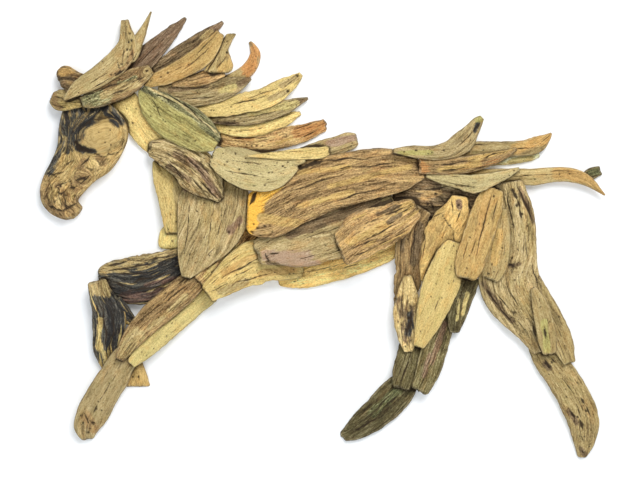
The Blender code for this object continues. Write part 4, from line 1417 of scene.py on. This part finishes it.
class DRIFTWOOD_OT_leading_leg(Operator):
    """Weathers the hip and the hind leg that reaches forward"""

    bl_idname = "driftwood.leading_leg"
    bl_label = "Leading hind leg"

    def execute(self, context):
        weather_slab(
            "hip_burl", "dark", second="brown", third="grey tan", tone=0.957, contrast=1.5, streaks=0.2,
            rough=1.6, swirl=0.012, steps=1.6, lumps=0.0022, spread=2.5,
            patches=((452, 200, 460, 214, 4), (424, 196, 440, 192, 3)), stripes=((444, 186, 462, 188, 2),),
            splits=(
                (430, 200, 436, 212, 2.0), (446, 184, 462, 190, 1.8), (458, 196, 456, 206, 2.2),
                (440, 196, 454, 214, 1.8), (424, 190, 450, 186, 1.6), (464, 196, 474, 212, 1.4),
            ),
            holes=((436, 194, 2.2), (452, 192, 2.0), (468, 200, 2.0), (428, 204, 1.8)),
        )
        weather_slab(
            "thigh_brown_plank", "brown", second="dark", tone=0.84, contrast=1.2, rough=1.2, steps=1.2,
            waver=2.4,
            patches=((420, 226, 414, 262, 4.5), (404, 226, 402, 250, 3)),
            splits=((416, 224, 410, 270, 1.1), (402, 234, 400, 280, 0.7)),
        )
        weather_slab(
            "knee_knot", "tan", second="dark", third="char", tone=1.414, contrast=1.2, fray=1.7, flecks=0.5,
            steps=1.4, lumps=0.0006, waver=1.4,
            patches=((410, 308, 406, 336, 7), (398, 300, 402, 312, 3)),
            stripes=((411, 314, 409, 334, 3.6),),
            splits=((404, 284, 402, 310, 1.0), (413, 306, 406, 342, 2.6)),
            holes=((409, 318, 2.4), (407, 330, 2.6), (402, 300, 1.2), (411, 341, 1.2), (398, 322, 1.2)),
        )
        weather_slab(
            "hip_plate", "honey", second="honey", third="purple", tone=1.43, contrast=0.8, swirl=0.005,
            steps=0.8, lumps=0.0008, waver=2.2, stray_splits=0.4,
            rings=((459, 205, 460, 206, 9),), patches=((440, 214, 430, 246, 9), (450, 230, 446, 250, 5)),
            stripes=((459, 203, 460, 207, 3.4),),
            splits=(
                (463, 208, 456, 224, 1.0), (428, 220, 444, 212, 1.4), (452, 198, 454, 214, 1.0),
                (441, 214, 452, 230, 1.4), (452, 230, 458, 246, 1.1), (426, 236, 422, 262, 0.9),
            ),
            holes=((459, 205, 2.0), (446, 198, 1.0)),
        )
        weather_slab(
            "thigh_oval", "straw", contrast=0.7, rough=0.5, steps=0.35, stray_splits=0.2, stray_holes=0.9,
            holes=((454, 246, 1.0), (436, 284, 0.8), (442, 298, 0.8), (428, 318, 0.8), (450, 270, 0.7)),
        )
        weather_slab(
            "thigh_back_bark", "olive", second="green", tone=0.62, contrast=1.3, rough=1.4,
            patches=((469, 294, 464, 314, 2.4), (460, 300, 458, 320, 1.8)),
            splits=((464, 286, 456, 316, 0.8),),
        )
        weather_slab(
            "hock_left_bark", "olive", tone=0.96, contrast=1.3, rough=1.8, steps=0.8, rag=2.0,
            splits=((414, 346, 400, 386, 0.9), (408, 350, 396, 384, 0.8)),
        )
        weather_slab(
            "hock_right_bark", "olive", second="purple", tone=1.15, contrast=1.3, rough=1.5, rag=2.5,
            patches=((446, 324, 432, 362, 3), (430, 356, 424, 376, 2.5)),
            splits=((444, 332, 426, 380, 0.8), (436, 344, 420, 384, 0.7)),
        )
        weather_slab(
            "leading_hind_foot", "olive", second="bark", tone=0.67, contrast=1.2, rough=1.6, steps=1.0,
            rag=1.5,
            patches=((398, 392, 372, 414, 5),),
            splits=((396, 390, 362, 424, 1.3), (386, 414, 350, 436, 1.2), (402, 392, 380, 414, 1.2)),
            holes=((372, 410, 1.4), (384, 402, 1.2)),
        )
        weather_slab(
            "thigh_broad_strip", "honey", second="rust", tone=0.902, balance=0.01, contrast=0.78, steps=0.6,
            rag=1.5, spread=2.4,
            patches=((488, 200, 474, 250, 6),), splits=((492, 192, 474, 262, 0.9),),
            holes=((494, 196, 1.3), (486, 214, 1.0), (466, 268, 1.0)),
        )
        weather_slab(
            "thigh_narrow_strip", "tan", second="honey", tone=0.94, contrast=0.8, steps=0.6,
            patches=((500, 232, 494, 262, 4),),
            holes=((502, 248, 1.1), (492, 264, 1.1), (488, 274, 1.2), (494, 272, 0.9)),
        )
        return {"FINISHED"}


class DRIFTWOOD_OT_trailing_leg(Operator):
    """Weathers the hind leg that pushes off"""

    bl_idname = "driftwood.trailing_leg"
    bl_label = "Trailing hind leg"

    def execute(self, context):
        weather_slab(
            "trailing_leg_plank", "grey tan", second="tan", third="dark", tone=1.176, contrast=1.2,
            rough=1.3, steps=0.9, rag=0.0, spread=2.2, stray_splits=1.2, stray_holes=1.0,
            branch=((507, 208, 6), (503, 195, 6.5), (498, 184, 5.5)),
            patches=((526, 200, 532, 252, 5), (522, 282, 528, 316, 5)),
            stripes=(
                (484, 284, 498, 305, 3.2), (498, 305, 513, 322, 2.6), (520, 188, 530, 210, 3.0),
                (528, 206, 534, 222, 2.4), (510, 266, 520, 264, 2.0), (490, 292, 500, 304, 2.4),
            ),
            splits=(
                (486, 288, 499, 306, 2.4), (499, 306, 514, 324, 2.0), (511, 190, 517, 200, 2.6),
                (517, 200, 520, 208, 2.4), (519, 208, 523, 219, 2.2), (506, 262, 516, 266, 1.6),
                (516, 185, 533, 220, 2.0), (512, 309, 515, 318, 1.6), (506, 284, 522, 310, 0.9),
                (524, 230, 528, 262, 0.9), (532, 322, 538, 344, 1.2), (506, 196, 516, 232, 1.1),
                (508, 264, 520, 268, 1.1), (532, 262, 540, 292, 1.1), (494, 290, 512, 312, 0.9),
            ),
            holes=(
                (513, 190, 2.2), (517, 205, 2.0), (522, 214, 2.0), (507, 241, 1.2), (512, 258, 1.3),
                (515, 313, 1.8), (520, 242, 0.9), (520, 296, 0.8), (536, 330, 0.9),
            ),
        )
        weather_slab(
            "trailing_shank_splint", "tan", tone=0.9, contrast=0.75, steps=0.5,
            splits=((548, 300, 564, 340, 0.6),), holes=((541, 294, 1.2), (561, 317, 1.6), (556, 328, 0.8)),
        )
        weather_slab(
            "trailing_shank_leaf", "tan", second="leaf", tone=0.817, contrast=0.8, steps=0.4,
            patches=((544, 322, 548, 350, 3.5),), splits=((545, 328, 547, 338, 1.6),),
            holes=((546, 333, 1.6), (540, 308, 0.8)),
        )
        weather_slab(
            "trailing_hind_foot", "tan", second="dark", tone=0.88, contrast=1.15, steps=0.7, round=0.5,
            rag=1.0, stray_holes=1.0,
            patches=((546, 364, 551, 369, 3), (583, 450, 587, 457, 2.4), (570, 412, 578, 424, 3)),
            splits=(
                (546, 360, 552, 370, 2.2), (552, 358, 558, 364, 1.2), (560, 374, 576, 396, 0.7),
                (583, 398, 587, 407, 1.8), (571, 411, 576, 420, 2.2), (580, 420, 585, 433, 2.2),
                (587, 406, 592, 418, 1.4), (578, 404, 582, 420, 1.1), (582, 436, 586, 446, 1.0),
                (583, 452, 586, 456, 1.4),
            ),
            holes=(
                (547, 364, 1.7), (550.5, 368, 1.6), (553.5, 363, 1.4), (579, 418, 1.4), (588, 412, 1.5),
                (585, 403, 1.6), (574, 416, 1.8), (583, 427, 1.8), (568, 398, 1.0), (586, 438, 1.2),
            ),
        )
        return {"FINISHED"}


class DRIFTWOOD_OT_tail(Operator):
    """Weathers the strands of the tail"""

    bl_idname = "driftwood.tail"
    bl_label = "Tail"

    def execute(self, context):
        weather_slab(
            "tail_horned_strand", "grey tan", second="char", third="leaf", tone=1.018, contrast=1.0,
            steps=0.6, waver=0.5, spread=1.3,
            patches=((480, 122, 476, 130, 2.6),),
            stripes=((478, 118, 486, 116, 4), (400, 154, 430, 152, 3)), splits=((475, 131, 482, 121, 2.6),),
            holes=((404, 152, 1.2), (416, 150, 1.4), (432, 152, 1.2), (444, 150, 1.4)),
        )
        weather_slab(
            "tail_splintered_strand", "brown", second="copper", third="honey", tone=0.989, contrast=1.3,
            streaks=0.12, rough=1.4, steps=0.9, rag=2.5, spread=1.4,
            patches=((417, 162, 424, 170, 5.5),),
            stripes=((440, 170, 480, 164, 2.6), (470, 160, 512, 148, 2.6)),
            splits=((430, 166, 480, 160, 1.6), (436, 171, 470, 168, 1.3), (480, 158, 510, 150, 1.3)),
        )
        weather_slab(
            "tail_pointed_strand", "tan", second="rust", tone=0.794, steps=0.6, spread=1.3,
            patches=((520, 146, 552, 134, 8),), splits=((490, 152, 540, 146, 0.9),),
            holes=((515, 146, 0.8),),
        )
        weather_slab(
            "tail_short_strand", "straw", second="green", tone=2.958, rough=0.5, steps=0.35,
            stray_splits=0.2,
            patches=((512, 161, 534, 157, 3),),
        )
        weather_slab(
            "tail_root_leaf", "pale", tone=0.911, contrast=0.8, rough=0.6, swirl=0.0025, steps=0.5,
            splits=((440, 181, 476, 188, 0.6),), holes=((468, 186, 1.3), (473, 187, 0.9), (446, 181, 0.7)),
        )
        weather_slab(
            "tail_long_strand", "tan", second="rust", tone=1.128, contrast=0.6, rough=0.7, steps=0.4,
            waver=0.5, spread=0.0,
            patches=((560, 172, 590, 178, 7), (590, 178, 606, 192, 8)), splits=((508, 176, 560, 174, 0.7),),
            holes=((536, 179, 1.0),),
        )
        weather_slab(
            "tail_knob", "olive", second="bark", tone=0.8, lumps=0.0008, round=0.8,
            stations=((585, 178, 3.5), (594, 173, 5.5), (604, 169.5, 4.5)),
            patches=((594, 172, 600, 170, 4),),
        )
        return {"FINISHED"}


def flat_sheet(name, corners):
    """A flat four-cornered sheet."""
    mesh = bpy.data.meshes.new(name)
    mesh.from_pydata(corners, [], [(0, 1, 2, 3)])
    sheet = bpy.data.objects.new(name, mesh)
    bpy.context.scene.collection.objects.link(sheet)
    return sheet


def wall_material(colour, glow):
    """Matt paint that glows a little. It can't be seen from behind, and light passes through it."""
    material = bpy.data.materials.new("wall_paint")
    material.use_nodes = True
    tree = material.node_tree
    paint = tree.nodes["Principled BSDF"]
    paint.inputs["Base Color"].default_value = (*colour, 1.0)
    paint.inputs["Roughness"].default_value = 0.95
    paint.inputs["Specular IOR Level"].default_value = 0.1
    paint.inputs["Emission Color"].default_value = (*WALL_LIGHT, 1.0)
    paint.inputs["Emission Strength"].default_value = glow
    behind = add_node(tree, "ShaderNodeNewGeometry").outputs["Backfacing"]
    shadow = add_node(tree, "ShaderNodeLightPath").outputs["Is Shadow Ray"]
    clear = add_node(tree, "ShaderNodeBsdfTransparent").outputs[0]
    inputs = {0: calculate(tree, "MAXIMUM", behind, shadow), 1: paint.outputs[0], 2: clear}
    shown = add_node(tree, "ShaderNodeMixShader", inputs).outputs[0]
    tree.links.new(shown, tree.nodes["Material Output"].inputs["Surface"])
    return material


def soft_light(name, place, size, power, colour):
    """A square area light that faces the horse."""
    data = bpy.data.lights.new(name, "AREA")
    data.size = size
    data.energy = power
    data.color = colour
    light = bpy.data.objects.new(name, data)
    bpy.context.scene.collection.objects.link(light)
    light.location = place
    light.rotation_euler = (-Vector(place)).to_track_quat("-Z", "Y").to_euler()
    return light


def room(strength):
    """A world that lights everything evenly."""
    world = bpy.data.worlds.new("room")
    world.use_nodes = True
    sky = world.node_tree.nodes["Background"]
    sky.inputs["Color"].default_value = (*ROOM_LIGHT, 1.0)
    sky.inputs["Strength"].default_value = strength
    return world


def front_camera(distance):
    """A camera square to the wall that frames the horse as the photograph does."""
    data = bpy.data.cameras.new("camera")
    camera = bpy.data.objects.new("camera", data)
    bpy.context.scene.collection.objects.link(camera)
    middle_x, middle_z = photo_place(PHOTO_SIZE[0] / 2, PHOTO_SIZE[1] / 2)
    camera.location = (middle_x, -distance, middle_z)
    camera.rotation_euler = (np.pi / 2, 0, 0)
    half_depth = (CAD_BOX[0].y + CAD_BOX[1].y) / 2
    data.sensor_width = SENSOR_WIDTH
    data.lens = data.sensor_width * (distance + half_depth) / (PHOTO_SIZE[0] * PIXEL)
    return camera


class DRIFTWOOD_OT_stage(Operator):
    """Sets up the wall, the floor, the lights and the camera"""

    bl_idname = "driftwood.stage"
    bl_label = "Stage"

    def execute(self, context):
        studio = context.scene.driftwood_studio
        low = CAD_BOX[0].z - FLOOR_DROP
        foot = [(-WALL_REACH, WALL_GAP, low), (WALL_REACH, WALL_GAP, low)]
        head = [(WALL_REACH, WALL_GAP, WALL_TOP), (-WALL_REACH, WALL_GAP, WALL_TOP)]
        near = [(-WALL_REACH, -FLOOR_REACH, low), (WALL_REACH, -FLOOR_REACH, low)]
        wall = flat_sheet("wall", [*foot, *head])
        floor = flat_sheet("floor", [*near, *reversed(foot)])
        paint = wall_material(studio.wall_colour, studio.wall_glow)
        for sheet in (wall, floor):
            sheet.data.materials.append(paint)
        for name, (place, size, share, colour) in LIGHTS.items():
            soft_light(name, place, size, studio.key_power * share, colour)
        context.scene.world = room(studio.sky_strength)
        context.scene.view_settings.view_transform = "Standard"
        context.scene.camera = front_camera(studio.camera_distance)
        return {"FINISHED"}


class DRIFTWOOD_PT_sidebar(Panel):
    """The steps and the settings of the driftwood horse"""

    bl_idname = "DRIFTWOOD_PT_sidebar"
    bl_label = "Driftwood horse"
    bl_space_type = "VIEW_3D"
    bl_region_type = "UI"
    bl_category = "Driftwood"

    def draw(self, context):
        for step in STEPS:
            self.layout.operator(step.bl_idname)
        for settings in (context.scene.driftwood_weathering, context.scene.driftwood_studio):
            box = self.layout.box()
            for key in settings.__annotations__:
                box.prop(settings, key)


STEPS = (
    DRIFTWOOD_OT_head,
    DRIFTWOOD_OT_mane,
    DRIFTWOOD_OT_neck,
    DRIFTWOOD_OT_forelegs,
    DRIFTWOOD_OT_body,
    DRIFTWOOD_OT_leading_leg,
    DRIFTWOOD_OT_trailing_leg,
    DRIFTWOOD_OT_tail,
    DRIFTWOOD_OT_stage,
)
SETTINGS = {
    "driftwood_tones": WoodTones,
    "driftwood_weathering": Weathering,
    "driftwood_studio": Studio,
}


def register():
    """Makes the settings, the operators and the panel known to Blender."""
    for cls in (*SETTINGS.values(), *STEPS, DRIFTWOOD_PT_sidebar):
        bpy.utils.register_class(cls)
    for key, cls in SETTINGS.items():
        setattr(bpy.types.Scene, key, PointerProperty(type=cls))


def unregister():
    """Takes them away again."""
    for key in SETTINGS:
        delattr(bpy.types.Scene, key)
    for cls in reversed((*SETTINGS.values(), *STEPS, DRIFTWOOD_PT_sidebar)):
        bpy.utils.unregister_class(cls)


def main():
    """Builds the looks step by step."""
    register()
    for step in STEPS:
        group, action = step.bl_idname.split(".")
        getattr(getattr(bpy.ops, group), action)()


if __name__ == "__main__":
    main()
